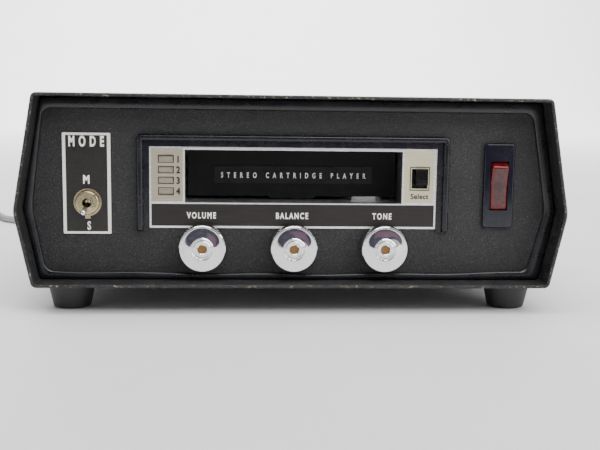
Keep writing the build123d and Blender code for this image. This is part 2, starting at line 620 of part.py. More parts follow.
def toggle():
    """The mode plate and the toggle that stands in it."""
    x, z = TOGGLE_AT
    plate_y = PANEL_Y - MODE_THICKNESS
    plate = along_y(outline_xz(MODE_X, SILL_Z + MODE_Z, MODE_PLATE, 0.4), plate_y, PANEL_Y)
    parts["mode_plate"] = plate - rod_y(x, z, (plate_y - 1, PANEL_Y + 1), TOGGLE_BUSH + 2 * SEAT)

    washer_y = plate_y - TOGGLE_WASHER_THICKNESS
    ring_y = washer_y - TOGGLE_RING_THICKNESS
    bush_y = ring_y - 0.5
    body_y = (PANEL_BACK_Y, PANEL_BACK_Y + TOGGLE_BODY[1])
    half = (TOGGLE_BODY[0] / 2, TOGGLE_BODY[2] / 2)
    body = block((x - half[0], x + half[0]), body_y, (z - half[1], z + half[1]))
    body += rod_y(x, z, (bush_y, PANEL_BACK_Y), TOGGLE_BUSH)
    wide, long, thick = TOGGLE_LUG
    for i in (-1, 0, 1):
        for side in (-4.0, 4.0):
            lug_x, lug_z = x + side - wide / 2, z + 9.0 * i - thick / 2
            body += block((lug_x, lug_x + wide), (body_y[0], body_y[1] + long), (lug_z, lug_z + thick))
    body -= rod_y(x, z, (bush_y - 1, PANEL_BACK_Y + 6), TOGGLE_BORE)
    body -= Pos(x, PANEL_BACK_Y + 4, z) * Sphere(3.6)
    pin_hole = (x - TOGGLE_BUSH / 2 - 1, x + TOGGLE_BUSH / 2 + 1)
    body -= rod_x(TOGGLE_PIVOT_Y, z, pin_hole, TOGGLE_PIN + 2 * RUNNING)
    parts["toggle_body"] = body
    washer = rod_y(x, z, (washer_y, plate_y), TOGGLE_WASHER)
    tab_z = z - TOGGLE_WASHER / 2 - TOGGLE_WASHER_TAB
    washer += block((x - 1.3, x + 1.3), (washer_y, plate_y), (tab_z, z))
    parts["toggle_washer"] = washer - rod_y(x, z, (washer_y - 1, plate_y + 1), TOGGLE_BUSH + 2 * RUNNING)
    ring = rod_y(x, z, (ring_y, washer_y), TOGGLE_RING)
    ring = fillet(ring.edges().group_by(Axis.Y)[0], 1.0)
    for turn in (45, 225):
        across = math.radians(turn)
        reach = TOGGLE_RING / 2
        ring -= Pos(x + reach * math.cos(across), ring_y, z + reach * math.sin(across)) * Box(1.6, 1.6, 1.6)
    parts["toggle_nut"] = ring - rod_y(x, z, (ring_y - 1, washer_y + 1), TOGGLE_BUSH + 2 * RUNNING)

    upward = (Align.CENTER, Align.CENTER, Align.MIN)
    neck = TOGGLE_LENGTH * 0.43
    lever = Cylinder(TOGGLE_STEM / 2, neck + 0.5, align=upward)
    lever += Pos(0, 0, neck) * Cone(TOGGLE_STEM / 2, TOGGLE_TIP / 2, TOGGLE_LENGTH - neck, align=upward)
    lever += Pos(0, 0, TOGGLE_LENGTH) * Sphere(TOGGLE_TIP / 2)
    lever += Sphere(TOGGLE_BORE / 2 - RUNNING)
    lever += Cylinder(TOGGLE_STEM / 2, 6.5, align=(Align.CENTER, Align.CENTER, Align.MAX))
    lever += Rot(0, 90, 0) * Cylinder(TOGGLE_PIN / 2, TOGGLE_BUSH - 2 * SEAT)
    parts["toggle_lever"] = Pos(x, TOGGLE_PIVOT_Y, z) * Rot(90 + TOGGLE_LEAN, 0, 0) * lever


def rocker():
    """The mains rocker: its housing, the button that tilts in it and the lamp behind the button."""
    x, z = ROCKER_AT
    face_y = PANEL_Y - ROCKER_PROUD
    pivot_y = face_y + ROCKER_PIVOT
    bezel = along_y(outline_xz(x, z, ROCKER_BEZEL, 1.6), face_y, PANEL_Y)
    bezel = fillet(bezel.edges().group_by(Axis.Y)[0], 0.9)
    body = (ROCKER_BEZEL[0] - 2.4, ROCKER_BEZEL[1] - 4.4)
    housing = bezel + along_y(outline_xz(x, z, body), PANEL_Y, PANEL_Y + ROCKER_DEPTH)
    wide = ROCKER_WINDOW[0] / 2
    housing -= along_y(outline_xz(x, z, ROCKER_WINDOW), face_y - 1, pivot_y)
    housing -= rod_x(pivot_y, z, (x - wide, x + wide), 2 * (ROCKER_SWING + FREE))
    pins = (x - wide - 1.2, x + wide + 1.2)
    housing -= rod_x(pivot_y, z, pins, ROCKER_PIN + 2 * RUNNING)
    parts["rocker_housing"] = housing

    rise = math.tan(math.radians(ROCKER_LEAN)) * ROCKER_SWING
    crest = ROCKER_PIVOT + rise
    edge = ROCKER_SWING + 1
    points = [(1.0, -edge), (1.0, edge), (-crest, edge), (-ROCKER_PIVOT, 0), (-crest, -edge)]
    profile = Sketch() + Polygon(*points, align=None)
    profile = profile & Circle(ROCKER_SWING)
    button_half = wide - FREE
    button = extrude(Plane.YZ.offset(-button_half) * profile, amount=2 * button_half)
    button -= block((-2.8, 2.8), (-3.6, 2), (-7, 7))
    button += rod_x(0, 0, (-wide - 1.0, -2.8), ROCKER_PIN)
    button += rod_x(0, 0, (2.8, wide + 1.0), ROCKER_PIN)
    parts["rocker_button"] = Pos(x, pivot_y, z) * Rot(ROCKER_LEAN, 0, 0) * button
    back = PANEL_Y + ROCKER_DEPTH
    lamp = rod_y(x, z, (pivot_y + 2.4, pivot_y + ROCKER_SWING + 1.0), 4.0)
    parts["rocker_lamp"] = lamp + Pos(x, pivot_y + 2.4, z) * Sphere(1.6)
    parts["rocker_housing"] -= rod_y(x, z, (pivot_y + 5, pivot_y + ROCKER_SWING + 1.0), 4.0 + 2 * RUNNING)
    for lug_z in (-12.0, 0.0, 12.0):
        lug = block((x - 3, x + 3), (back, back + 7.0), (z + lug_z - 0.4, z + lug_z + 0.4))
        parts["rocker_housing"] += lug


# ---------------------------------------------------------------- tape drive


def belt_loop(grow):
    """The outline of a loop round the flywheel and the motor pulley, grown by grow."""
    (ax, ay), (bx, by) = CAPSTAN_AT, MOTOR_AT
    big, small = FLYWHEEL_DIAMETER / 2 + grow, PULLEY_DIAMETER / 2 + grow
    apart = math.hypot(bx - ax, by - ay)
    heading = math.atan2(by - ay, bx - ax)
    lean = math.acos((big - small) / apart)
    up, down = heading + lean, heading - lean
    points = [
        (ax + big * math.cos(down), ay + big * math.sin(down)),
        (bx + small * math.cos(down), by + small * math.sin(down)),
        (bx + small * math.cos(up), by + small * math.sin(up)),
        (ax + big * math.cos(up), ay + big * math.sin(up)),
    ]
    return Pos(ax, ay) * Circle(big) + Pos(bx, by) * Circle(small) + Polygon(*points, align=None)


def drive():
    """The transport plate, the motor, the belt and the flywheel with its capstan."""
    left, right = PLATE_X
    front, back = FACE_BACK_Y + PLATE_SETBACK, PLATE_BACK
    plate = block((left, right), (front, back), (PLATE_Z, PLATE_TOP_Z))
    for x in (left + 6, right - 6):
        for y in (front + 6, back - 6):
            plate += rod_z(x, y, (TRAY_Z, PLATE_TOP_Z), PLATE_LEG)
    plate -= rod_z(*CAPSTAN_AT, (PLATE_Z - 1, PLATE_TOP_Z + 1), BEARING_DIAMETER + 2 * RUNNING)
    plate -= rod_z(*MOTOR_AT, (PLATE_Z - 1, PLATE_TOP_Z + 1), 9.0)
    plate -= block((-9, 9), (BAY_END_Y + 5, BAY_END_Y + 19), (PLATE_Z - 1, PLATE_TOP_Z + 1))
    parts["transport_plate"] = plate

    mid = (WHEEL_Z + WHEEL_TOP_Z) / 2
    wheel = rod_z(*CAPSTAN_AT, (WHEEL_Z, WHEEL_TOP_Z), FLYWHEEL_DIAMETER)
    wheel -= rod_z(*CAPSTAN_AT, (WHEEL_Z - 1, WHEEL_Z + 3), FLYWHEEL_DIAMETER - 2 * WHEEL_RIM)
    wheel += rod_z(*CAPSTAN_AT, (WHEEL_Z, WHEEL_TOP_Z), HUB_DIAMETER)
    capstan_top = SILL_Z + SLOT_HEIGHT * 0.75
    parts["flywheel"] = wheel + rod_z(*CAPSTAN_AT, (WHEEL_TOP_Z, capstan_top), CAPSTAN_DIAMETER)
    bearing = rod_z(*CAPSTAN_AT, (PLATE_Z - 3.5, PLATE_TOP_Z + 7.0), BEARING_DIAMETER)
    bearing += rod_z(*CAPSTAN_AT, (PLATE_Z - SHEET, PLATE_Z), BEARING_DIAMETER + 5.0)
    bearing -= rod_z(*CAPSTAN_AT, (PLATE_Z - 9, PLATE_TOP_Z + 9), CAPSTAN_DIAMETER + 2 * RUNNING)
    parts["capstan_bearing"] = bearing

    motor = rod_z(*MOTOR_AT, (PLATE_TOP_Z, PLATE_TOP_Z + MOTOR_HEIGHT), MOTOR_DIAMETER)
    motor = fillet(motor.edges().group_by(Axis.Z)[-1], 2.5)
    shaft_top = PLATE_TOP_Z + 20.0
    motor -= rod_z(*MOTOR_AT, (PLATE_TOP_Z - 1, shaft_top + FREE), MOTOR_SHAFT + 2 * RUNNING)
    parts["drive_motor"] = motor
    pulley = rod_z(*MOTOR_AT, (mid - BELT_WIDTH / 2 - 0.6, mid + BELT_WIDTH / 2 + 0.6), PULLEY_DIAMETER)
    for z in (mid - BELT_WIDTH / 2 - 1.6, mid + BELT_WIDTH / 2 + 0.6):
        pulley += rod_z(*MOTOR_AT, (z, z + 1.0), PULLEY_DIAMETER + 3.0)
    parts["motor_pulley"] = pulley + rod_z(*MOTOR_AT, (mid, shaft_top), MOTOR_SHAFT)
    band = extrude(Pos(0, 0, mid - BELT_WIDTH / 2) * belt_loop(BELT_GAP + BELT_THICKNESS), BELT_WIDTH)
    band -= extrude(Pos(0, 0, mid - BELT_WIDTH) * belt_loop(BELT_GAP), 2 * BELT_WIDTH)
    parts["drive_belt"] = band


def snail():
    """The cam's outline: it grows by its lift over its turn, clockwise from the top, and then falls back."""
    steps = 12
    points = []
    for i in range(steps + 1):
        turn = math.radians(CAM_TURN * i / steps)
        reach = CAM_RADIUS + CAM_LIFT * i / steps
        points.append((reach * math.sin(turn), reach * math.cos(turn)))
    return make_face(Curve() + [Spline(*points), Line(points[-1], points[0])])


def track_changer():
    """The head on its carriage, the cam that lifts it and the solenoid that steps the cam."""
    plate_y = (BAY_END_Y + 8.0, BAY_END_Y + 10.0)
    ledge_y = plate_y[0] - 2.5
    arm_z = SILL_Z + 20.0
    carriage = block((-8, 8), plate_y, (PLATE_Z - 2.0, arm_z + 4.0))
    carriage += block((-8, 8), (ledge_y, plate_y[0]), (SILL_Z + 2, SILL_Z + 4))
    carriage += block((CAM_X - 8, 8), plate_y, (arm_z, arm_z + 4.0))
    parts["head_carriage"] = carriage
    head = block((-7, 7), (BAY_END_Y + 1, plate_y[0]), (SILL_Z + 4, SILL_Z + 16))
    parts["tape_head"] = fillet(head.edges().filter_by(Axis.Z).group_by(Axis.Y)[0], 3.0)

    cam_z = arm_z - CAM_RADIUS - FREE / 2
    cam_y = sum(plate_y) / 2
    half = CAM_THICKNESS / 2
    bracket_y = (cam_y + half + 1.0, cam_y + half + 1.0 + SHEET)
    cam = along_y(Pos(CAM_X, cam_z) * snail(), cam_y - half, cam_y + half)
    parts["track_cam"] = cam + rod_y(CAM_X, cam_z, (cam_y + half, bracket_y[1] + 2.0), CAM_SHAFT)
    bracket = block((CAM_X - 7, CAM_X + 7), bracket_y, (PLATE_TOP_Z, cam_z + 6.0))
    bracket -= rod_y(CAM_X, cam_z, (bracket_y[0] - 1, bracket_y[1] + 1), CAM_SHAFT + 2 * RUNNING)
    parts["transport_plate"] += bracket

    body_x = (CAM_X - 28.0, CAM_X - 10.0)
    y = bracket_y[1] + 14.0
    z = PLATE_TOP_Z + 8.0
    coil = block(body_x, (y - 8, y + 8), (PLATE_TOP_Z, z + 8))
    coil -= rod_x(y, z, (body_x[0] + 1.5, body_x[1] + 1), PLUNGER_DIAMETER + 2 * RUNNING)
    parts["solenoid_body"] = coil
    rod = rod_x(y, z, (body_x[0] + 1.5 + SOLENOID_TRAVEL + FREE, body_x[1] + 8.0), PLUNGER_DIAMETER)
    collar_x = body_x[1] + SOLENOID_TRAVEL + 1.0
    rod += rod_x(y, z, (collar_x, collar_x + 1.5), PLUNGER_DIAMETER + 3.0)
    parts["solenoid_plunger"] = rod


def supply():
    """The amplifier board, the filter capacitors and the mains transformer."""
    board_z = TRAY_Z + BOARD_LIFT
    board = block(BOARD_X, BOARD_Y, (board_z, board_z + SHEET))
    for x in (BOARD_X[0] + 5.0, BOARD_X[1] - 5.0):
        for y in (BOARD_Y[0] + 6.0, BOARD_Y[1] - 6.0):
            board += rod_z(x, y, (TRAY_Z, board_z), BOARD_PILLAR)
    for i, (x, y) in enumerate(BOARD_PARTS):
        board += rod_z(x, y, (board_z, board_z + 14 + 2 * (i % 3)), 10.0)
    parts["amplifier_board"] = board
    cans = [rod_z(x, CAN_Y, (TRAY_Z, TRAY_Z + CAN_HEIGHT), CAN_DIAMETER) for x in CAN_XS]
    parts["filter_capacitors"] = Compound(children=cans)

    x, y = CORE_AT
    mid = TRAY_Z + CORE_SIZE[2] / 2
    half = [side / 2 for side in CORE_SIZE]
    wide = [side / 2 for side in WINDING_SIZE]
    core = block((x - half[0], x + half[0]), (y - half[1], y + half[1]), (mid - half[2], mid + half[2]))
    core -= block((x - wide[0], x + wide[0]), (y - 40, y + 40), (mid - wide[2], mid + wide[2]))
    leg_x, leg_y = CORE_LEG / 2, half[1]
    core += block((x - leg_x, x + leg_x), (y - leg_y, y + leg_y), (mid - wide[2], mid + wide[2]))
    parts["transformer_core"] = core
    wound_x, wound_z = wide[0] - SEAT, wide[2] - SEAT
    winding = block((x - wound_x, x + wound_x), (y - wide[1], y + wide[1]), (mid - wound_z, mid + wound_z))
    hole_x, hole_y = leg_x + SEAT, leg_y + SEAT
    hole = block((x - hole_x, x + hole_x), (y - hole_y, y + hole_y), (mid - 40, mid + 40))
    parts["transformer_winding"] = winding - hole


# ---------------------------------------------------------------- mains lead

# The lead's route along its middle, from the boot to where it joins the coil.
CORD_ROUTE = [
    (GROMMET_AT[0], REAR_Y + GROMMET_REACH, GROMMET_AT[1]),
    (GROMMET_AT[0], REAR_Y + GROMMET_REACH + 18.0, GROMMET_AT[1]),
    (-99.0, 163.0, 24.0),
    (-107.0, 180.0, 11.0),
    (-124.0, 194.0, CORD_Z),
    (-150.0, 198.0, CORD_Z),
    (-186.0, 190.0, CORD_Z),
    (-214.0, 208.0, CORD_Z),
    (-222.0, 229.0, CORD_Z),
    (-233.9, 247.3, CORD_Z),
]


# Its tail, from the coil's last turn to the plug.
TAIL_ROUTE = [
    (COIL_AT[0] - COIL_MID_RADIUS - 1.5 * CORD_DIAMETER, COIL_AT[1], CORD_Z + COIL_LAYERS * CORD_DIAMETER),
    (-304.0, 214.5, 12.0),
    (PLUG_AT[0], 206.5, PLUG_BODY[2] / 2 + 0.1),
    (PLUG_AT[0], PLUG_AT[1], PLUG_BODY[2] / 2 + 0.1),
]


def corner_radii(route):
    """The largest sensible arc at each corner: 0.45 of the shorter run over the tangent of half the turn."""
    radii = []
    for before, at, after in zip(route, route[1:], route[2:]):
        one, two = Vector(*at) - Vector(*before), Vector(*after) - Vector(*at)
        half_turn = math.radians(one.get_angle(two)) / 2
        radii.append(0.45 * min(one.length, two.length) / math.tan(half_turn))
    return radii


def cord_tube(route):
    """A tube of the lead's diameter along a route; prints its bends, length and volume."""
    radii = corner_radii(route)
    path = FilletPolyline(*route, radius=radii)
    start = Plane(origin=path @ 0, z_dir=path % 0)
    tube = sweep(start * Circle(CORD_DIAMETER / 2), path=path)
    expected = math.pi * CORD_DIAMETER**2 / 4 * path.length
    print("cord radii", [round(r, 1) for r in radii])
    print("cord length", round(path.length, 1), "volume over section times length", tube.volume / expected)
    return tube


def lead():
    """The mains lead, its coil and its plug."""
    parts["mains_cord"] = cord_tube(CORD_ROUTE)

    half = COIL_RINGS * CORD_DIAMETER / 2 + 0.1
    high = COIL_LAYERS * CORD_DIAMETER + 0.1
    outer, inner = COIL_MID_RADIUS + half, COIL_MID_RADIUS - half
    coil = rod_z(*COIL_AT, (0, high), 2 * outer) - rod_z(*COIL_AT, (-1, high + 1), 2 * inner)
    last = rod_z(*COIL_AT, (high, high + CORD_DIAMETER), 2 * outer)
    last -= rod_z(*COIL_AT, (0, high + 2 * CORD_DIAMETER), 2 * (outer - CORD_DIAMETER - 0.2))
    behind = (COIL_AT[1], COIL_AT[1] + 2 * outer)
    last &= block((COIL_AT[0] - 2 * outer, COIL_AT[0] + 2 * outer), behind, (0, high + 2 * CORD_DIAMETER))
    parts["cord_coil"] = coil + last + cord_tube(TAIL_ROUTE)

    x, top = PLUG_AT
    wide, long, thick = PLUG_BODY
    z = thick / 2 + 0.1
    boot_y = top - PLUG_BOOT[0]
    boot = taper_y(x, z, (boot_y, top), PLUG_BOOT[1], PLUG_BOOT[2])
    shell = block((x - wide / 2, x + wide / 2), (boot_y - long, boot_y), (z - thick / 2, z + thick / 2))
    plug = fillet(shell.edges().filter_by(Axis.Y), 4.5) + boot
    pin_y = (boot_y - long - PLUG_PIN_LENGTH, boot_y - long)
    for side in (-1, 1):
        plug += rod_y(x + side * PLUG_PIN_SPACING / 2, z, pin_y, PLUG_PIN)
    parts["mains_plug"] = plug


SCREW_HOLES = case()
front_panel()
rear_panel(SCREW_HOLES)
player_front()
select_button()
door()
knobs()
toggle()
rocker()
drive()
track_changer()
supply()
lead()

os.makedirs("parts", exist_ok=True)
for node, shape in parts.items():
    export_step(shape, f"parts/{node}.step")
print(len(parts), "nodes")
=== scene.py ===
"""Finish of a table-top cartridge player with its amplifier, laid out as a Blender add-on."""

import json
import math

import bmesh
import bpy
from bpy.props import FloatProperty, FloatVectorProperty, IntProperty, PointerProperty, StringProperty
from mathutils import Matrix, Vector, noise


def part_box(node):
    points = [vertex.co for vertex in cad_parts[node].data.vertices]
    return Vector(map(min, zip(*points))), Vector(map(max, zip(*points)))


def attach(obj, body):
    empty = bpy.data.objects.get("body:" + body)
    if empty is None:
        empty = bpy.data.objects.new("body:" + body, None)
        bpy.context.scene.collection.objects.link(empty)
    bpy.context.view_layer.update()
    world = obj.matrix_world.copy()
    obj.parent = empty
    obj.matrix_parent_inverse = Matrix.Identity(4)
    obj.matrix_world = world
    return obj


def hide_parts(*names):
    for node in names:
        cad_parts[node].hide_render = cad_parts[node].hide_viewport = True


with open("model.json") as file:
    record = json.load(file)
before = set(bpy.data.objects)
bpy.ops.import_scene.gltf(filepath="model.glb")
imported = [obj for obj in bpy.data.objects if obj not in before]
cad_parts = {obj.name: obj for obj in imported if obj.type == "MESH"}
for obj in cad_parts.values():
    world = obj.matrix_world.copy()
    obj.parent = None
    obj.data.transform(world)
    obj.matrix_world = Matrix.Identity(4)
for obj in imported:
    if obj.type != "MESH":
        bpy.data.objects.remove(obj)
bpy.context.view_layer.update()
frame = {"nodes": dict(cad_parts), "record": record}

bl_info = {
    "name": "Cartridge player finish",
    "version": (1, 0, 0),
    "blender": (4, 5, 0),
    "location": "3D View > Sidebar > Player",
    "description": "Covers, rubber, chrome, lettering and lead of a table-top cartridge player",
    "category": "Object",
}

MM = 0.001
CASE = "case"
NODES = frame["nodes"]

# ---------------------------------------------------------------- places taken from the frame

CASE_LOW, CASE_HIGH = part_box("case_sleeve")
PANEL_LOW, PANEL_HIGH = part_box("front_panel")
FACE_LOW, FACE_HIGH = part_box("escutcheon")
DOOR_LOW, DOOR_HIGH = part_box("cartridge_door")
STRIP_LOW, STRIP_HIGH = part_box("door_strip")
PLATE_LOW, PLATE_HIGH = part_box("mode_plate")
PANEL_Y = PANEL_LOW[1]
FACE_Y = FACE_LOW[1]
SILL_Z = CASE_LOW[2] + 39.0 * MM
LETTER_RISE = 0.05 * MM
CAPITAL = 0.729


# ---------------------------------------------------------------- settings


def colour(name, description, default):
    """A colour that a user can change."""
    return FloatVectorProperty(
        name=name, description=description, subtype="COLOR", size=3, min=0.0, max=1.0, default=default
    )


def length(name, description, default):
    """A length that a user can change, in metres."""
    return FloatProperty(name=name, description=description, unit="LENGTH", default=default)


class StageLooks(bpy.types.PropertyGroup):
    """The floor, the lights and the camera."""

    floor: colour("Floor", "Colour of the plain floor", (0.80, 0.795, 0.79))
    surround: colour("Surround", "Colour of the air round the table", (0.78, 0.79, 0.80))
    surround_light: FloatProperty(name="Surround light", description="Strength of the air", default=0.85)
    softbox: FloatProperty(name="Softboxes", description="Power of the softboxes in watts", default=24.0)
    backdrop: FloatProperty(name="Backdrop", description="Power of the backdrop light in watts", default=330.0)
    card: colour("Card", "Colour of the card behind the camera", (0.030, 0.034, 0.050))
    lens: FloatProperty(name="Lens", description="Focal length on a 36 mm wide sensor", default=55.84)


class CoverLooks(bpy.types.PropertyGroup):
    """The grained covering of the case."""

    black: colour("Covering", "Colour of the covering", (0.011, 0.011, 0.012))
    worn: colour("Worn", "Colour where the covering is rubbed through", (0.34, 0.27, 0.15))
    wall: length("Wall", "Thickness of the sleeve", 1.6 * MM)
    rim: length("Rim", "Radius of the sleeve's front and back rims", 0.6 * MM)
    grain: length("Grain", "Width of one grain of the covering", 1.1 * MM)


class LeadLooks(bpy.types.PropertyGroup):
    """The mains lead."""

    grey: colour("Sheath", "Colour of the lead's sheath", (0.30, 0.305, 0.31))
    diameter: length("Diameter", "Outside diameter of the lead", 5.3 * MM)


class KnobLooks(bpy.types.PropertyGroup):
    """The three turned knobs."""

    metal: colour("Plate", "Colour of the plating", (0.80, 0.80, 0.81))
    ridges: IntProperty(name="Ridges", description="Ridges round a knob's rim", default=60, min=12, max=120)
    crown: length("Crown", "Height of the knob face's cone", 1.1 * MM)


class LetterLooks(bpy.types.PropertyGroup):
    """The printed words."""

    white: colour("Ink", "Colour of the printed letters", (0.93, 0.92, 0.85))
    mode: StringProperty(name="Mode label", description="Word on the mode plate", default="MODE")
    door: StringProperty(name="Door label", description="Words on the door", default="STEREO CARTRIDGE PLAYER")


SETTINGS = {
    "player_stage": StageLooks,
    "player_cover": CoverLooks,
    "player_lead": LeadLooks,
    "player_knobs": KnobLooks,
    "player_letters": LetterLooks,
}


# ---------------------------------------------------------------- mesh helpers


def link(name, data):
    """Puts an object of some data into the scene."""
    made = bpy.data.objects.new(name, data)
    bpy.context.scene.collection.objects.link(made)
    return made


def moved_verts(made):
    """The vertices among what an operator made."""
    return [item for item in made["geom"] if isinstance(item, bmesh.types.BMVert)]


def finish(bm, name, body, material, crease=35.0):
    """Makes a piece from a bmesh: doubles merged, faces outwards, on its body, in its material slot."""
    bmesh.ops.remove_doubles(bm, verts=bm.verts, dist=0.004 * MM)
    bmesh.ops.recalc_face_normals(bm, faces=bm.faces)
    mesh = bpy.data.meshes.new(name)
    bm.to_mesh(mesh)
    bm.free()
    return place(mesh, name, body, material, crease)


def place(mesh, name, body, material, crease=35.0):
    """Links a mesh as a piece that rides on a body."""
    mesh.name = name
    mesh.shade_smooth()
    mesh.set_sharp_from_angle(angle=math.radians(crease))
    mesh.materials.clear()
    mesh.materials.append(material)
    piece = link(name, mesh)
    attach(piece, body)
    return piece


def paint(material, *nodes):
    """Gives CAD nodes a material through their own slots."""
    for node in nodes:
        slots = NODES[node].material_slots
        if not slots:
            NODES[node].data.materials.append(material)
        for slot in slots:
            slot.material = material


def box(bm, low, high, radius=0.0, segments=2):
    """Adds a box between two corners, with its edges rounded."""
    size = Vector(high) - Vector(low)
    middle = (Vector(high) + Vector(low)) / 2
    matrix = Matrix.Translation(middle) @ Matrix.Diagonal((*size, 1))
    made = bmesh.ops.create_cube(bm, size=1.0, matrix=matrix)
    if radius:
        edges = list({edge for vert in made["verts"] for edge in vert.link_edges})
        bmesh.ops.bevel(
            bm, geom=edges, offset=radius, segments=segments, affect="EDGES", profile=0.5, material=-1
        )


def lathe(bm, profile, at, axis="Y", steps=64):
    """Spins a profile of (reach along the axis, radius) pairs round an axis through a point."""
    turn = {"Y": Vector((0, 1, 0)), "Z": Vector((0, 0, 1)), "X": Vector((1, 0, 0))}[axis]
    out = {"Y": Vector((1, 0, 0)), "Z": Vector((1, 0, 0)), "X": Vector((0, 0, 1))}[axis]
    verts = [bm.verts.new(Vector(at) + turn * along + out * radius) for along, radius in profile]
    edges = [bm.edges.new(pair) for pair in zip(verts, verts[1:])]
    bmesh.ops.spin(
        bm, geom=verts + edges, cent=at, axis=turn, angle=math.tau, steps=steps, use_merge=True
    )


def outline(bm, corners, y, radius, segments=8):
    """Adds a face at y, with rounded corners in X and Z."""
    verts = [bm.verts.new((x, y, z)) for x, z in corners]
    bm.faces.new(verts)
    bmesh.ops.bevel(
        bm, geom=verts, offset=radius, segments=segments, affect="VERTICES", profile=0.5, material=-1
    )


def words(name, text, size, at, body, material, width=1.0, bold=0.0, spacing=1.0):
    """Printed letters facing the front, of a capital's height, over the middle of the line's foot."""
    curve = bpy.data.curves.new(name, "FONT")
    curve.body = text
    curve.align_x = "CENTER"
    curve.size = size / CAPITAL
    curve.offset = bold * size
    curve.space_character = spacing
    curve.extrude = LETTER_RISE
    curve.resolution_u = 4
    holder = link(name, curve)
    bpy.context.view_layer.update()
    shape = holder.evaluated_get(bpy.context.evaluated_depsgraph_get())
    mesh = bpy.data.meshes.new_from_object(shape)
    bpy.data.objects.remove(holder)
    bpy.data.curves.remove(curve)
    proud = Vector(at) - Vector((0.0, 0.5 * LETTER_RISE, 0.0))
    upright = Matrix.Translation(proud) @ Matrix.Rotation(math.radians(90), 4, "X")
    mesh.transform(upright @ Matrix.Diagonal((width, 1, 1, 1)))
    return place(mesh, name, body, material)


# ---------------------------------------------------------------- material helpers


def feed(tree, socket, value):
    """Links a socket to a node's output, or sets its value."""
    if isinstance(value, bpy.types.NodeSocket):
        tree.links.new(value, socket)
    else:
        socket.default_value = value


def add(tree, kind, inputs=None, **settings):
    """Adds a node with its settings and its inputs, by name or number."""
    made = tree.nodes.new(kind)
    for key, value in settings.items():
        setattr(made, key, value)
    for key, value in (inputs or {}).items():
        feed(tree, made.inputs[key], value)
    return made


def calc(tree, operation, *values):
    """A maths node's result."""
    made = add(tree, "ShaderNodeMath", dict(enumerate(values)), operation=operation)
    return made.outputs[0]


def mix(tree, factor, first, second):
    """A mix of two colours."""
    pair = [v if isinstance(v, bpy.types.NodeSocket) else (*v, 1.0) for v in (first, second)]
    made = add(tree, "ShaderNodeMix", {0: factor, 6: pair[0], 7: pair[1]}, data_type="RGBA")
    return made.outputs[2]


def ramp(tree, value, low, high, start=0.0, end=1.0):
    """A value carried from one range to another, and held at its ends."""
    made = add(tree, "ShaderNodeMapRange", {0: value, 1: low, 2: high, 3: start, 4: end}, clamp=True)
    return made.outputs[0]


def cloud(tree, place_, scale, detail=4.0, rough=0.55):
    """Soft noise at a scale per metre."""
    made = add(
        tree, "ShaderNodeTexNoise", {"Vector": place_, "Scale": scale, "Detail": detail, "Roughness": rough}
    )
    return made.outputs[0]


def cells(tree, place_, scale, feature="F1", output=0):
    """Cells at a scale per metre: distances, or a random colour for each."""
    made = add(tree, "ShaderNodeTexVoronoi", {"Vector": place_, "Scale": scale}, feature=feature)
    return made.outputs[output]


def bump(tree, height, strength, depth, under=None):
    """A bump from a height."""
    inputs = {"Height": height, "Strength": strength, "Distance": depth}
    if under is not None:
        inputs["Normal"] = under
    return add(tree, "ShaderNodeBump", inputs).outputs[0]


def surface(name, rgb, rough=0.5, metal=0.0, **more):
    """A new material, its node tree, its shader and its object coordinates."""
    material = bpy.data.materials.new(name)
    material.use_nodes = True
    tree = material.node_tree
    shader = tree.nodes["Principled BSDF"]
    shader.inputs["Base Color"].default_value = (*rgb, 1.0)
    shader.inputs["Roughness"].default_value = rough
    shader.inputs["Metallic"].default_value = metal
    for key, value in more.items():
        shader.inputs[key.replace("_", " ")].default_value = value
    material.diffuse_color = (*rgb, 1.0)
    place_ = add(tree, "ShaderNodeTexCoord").outputs["Object"]
    return material, tree, shader, place_


def patch(tree, axes, low, high):
    """1 inside a rectangle in X and Z, 0 outside."""
    x, z = axes
    sides = [
        calc(tree, "GREATER_THAN", x, low[0]),
        calc(tree, "LESS_THAN", x, high[0]),
        calc(tree, "GREATER_THAN", z, low[1]),
        calc(tree, "LESS_THAN", z, high[1]),
    ]
    pairs = [calc(tree, "MULTIPLY", *sides[:2]), calc(tree, "MULTIPLY", *sides[2:])]
    return calc(tree, "MULTIPLY", *pairs)


def across(tree, place_):
    """The X and Z of a place."""
    parts = add(tree, "ShaderNodeSeparateXYZ", {0: place_})
    return parts.outputs[0], parts.outputs[2]


# ---------------------------------------------------------------- materials


def covering(looks):
    """Black grained covering, rubbed to tan along its rims."""
    material, tree, shader, place_ = surface("grained_covering", looks.black, 0.5)
    scale = 1.0 / looks.grain
    lumps = cells(tree, place_, scale, "SMOOTH_F1")
    creases = cells(tree, place_, scale * 0.62, "DISTANCE_TO_EDGE")
    soft = cloud(tree, place_, 240.0)
    folds = ramp(tree, creases, 0.0, 0.10, 0.0, 0.5)
    height = calc(tree, "ADD", calc(tree, "MULTIPLY", lumps, -0.8), folds)
    height = calc(tree, "ADD", height, calc(tree, "MULTIPLY", soft, 0.5))
    feed(tree, shader.inputs["Normal"], bump(tree, height, 0.85, 0.5 * MM))
    dull = mix(tree, ramp(tree, soft, 0.35, 0.7), looks.black, tuple(2.1 * c for c in looks.black))
    rubbed = add(tree, "ShaderNodeAttribute", attribute_name="rubbed").outputs["Fac"]
    speck = ramp(tree, cloud(tree, place_, 620.0, 4.0, 0.75), 0.52, 0.70)
    bare = ramp(tree, calc(tree, "MULTIPLY", rubbed, speck), 0.42, 0.60)
    feed(tree, shader.inputs["Base Color"], mix(tree, bare, dull, looks.worn))
    feed(tree, shader.inputs["Roughness"], ramp(tree, soft, 0.3, 0.75, 0.40, 0.62))
    return material


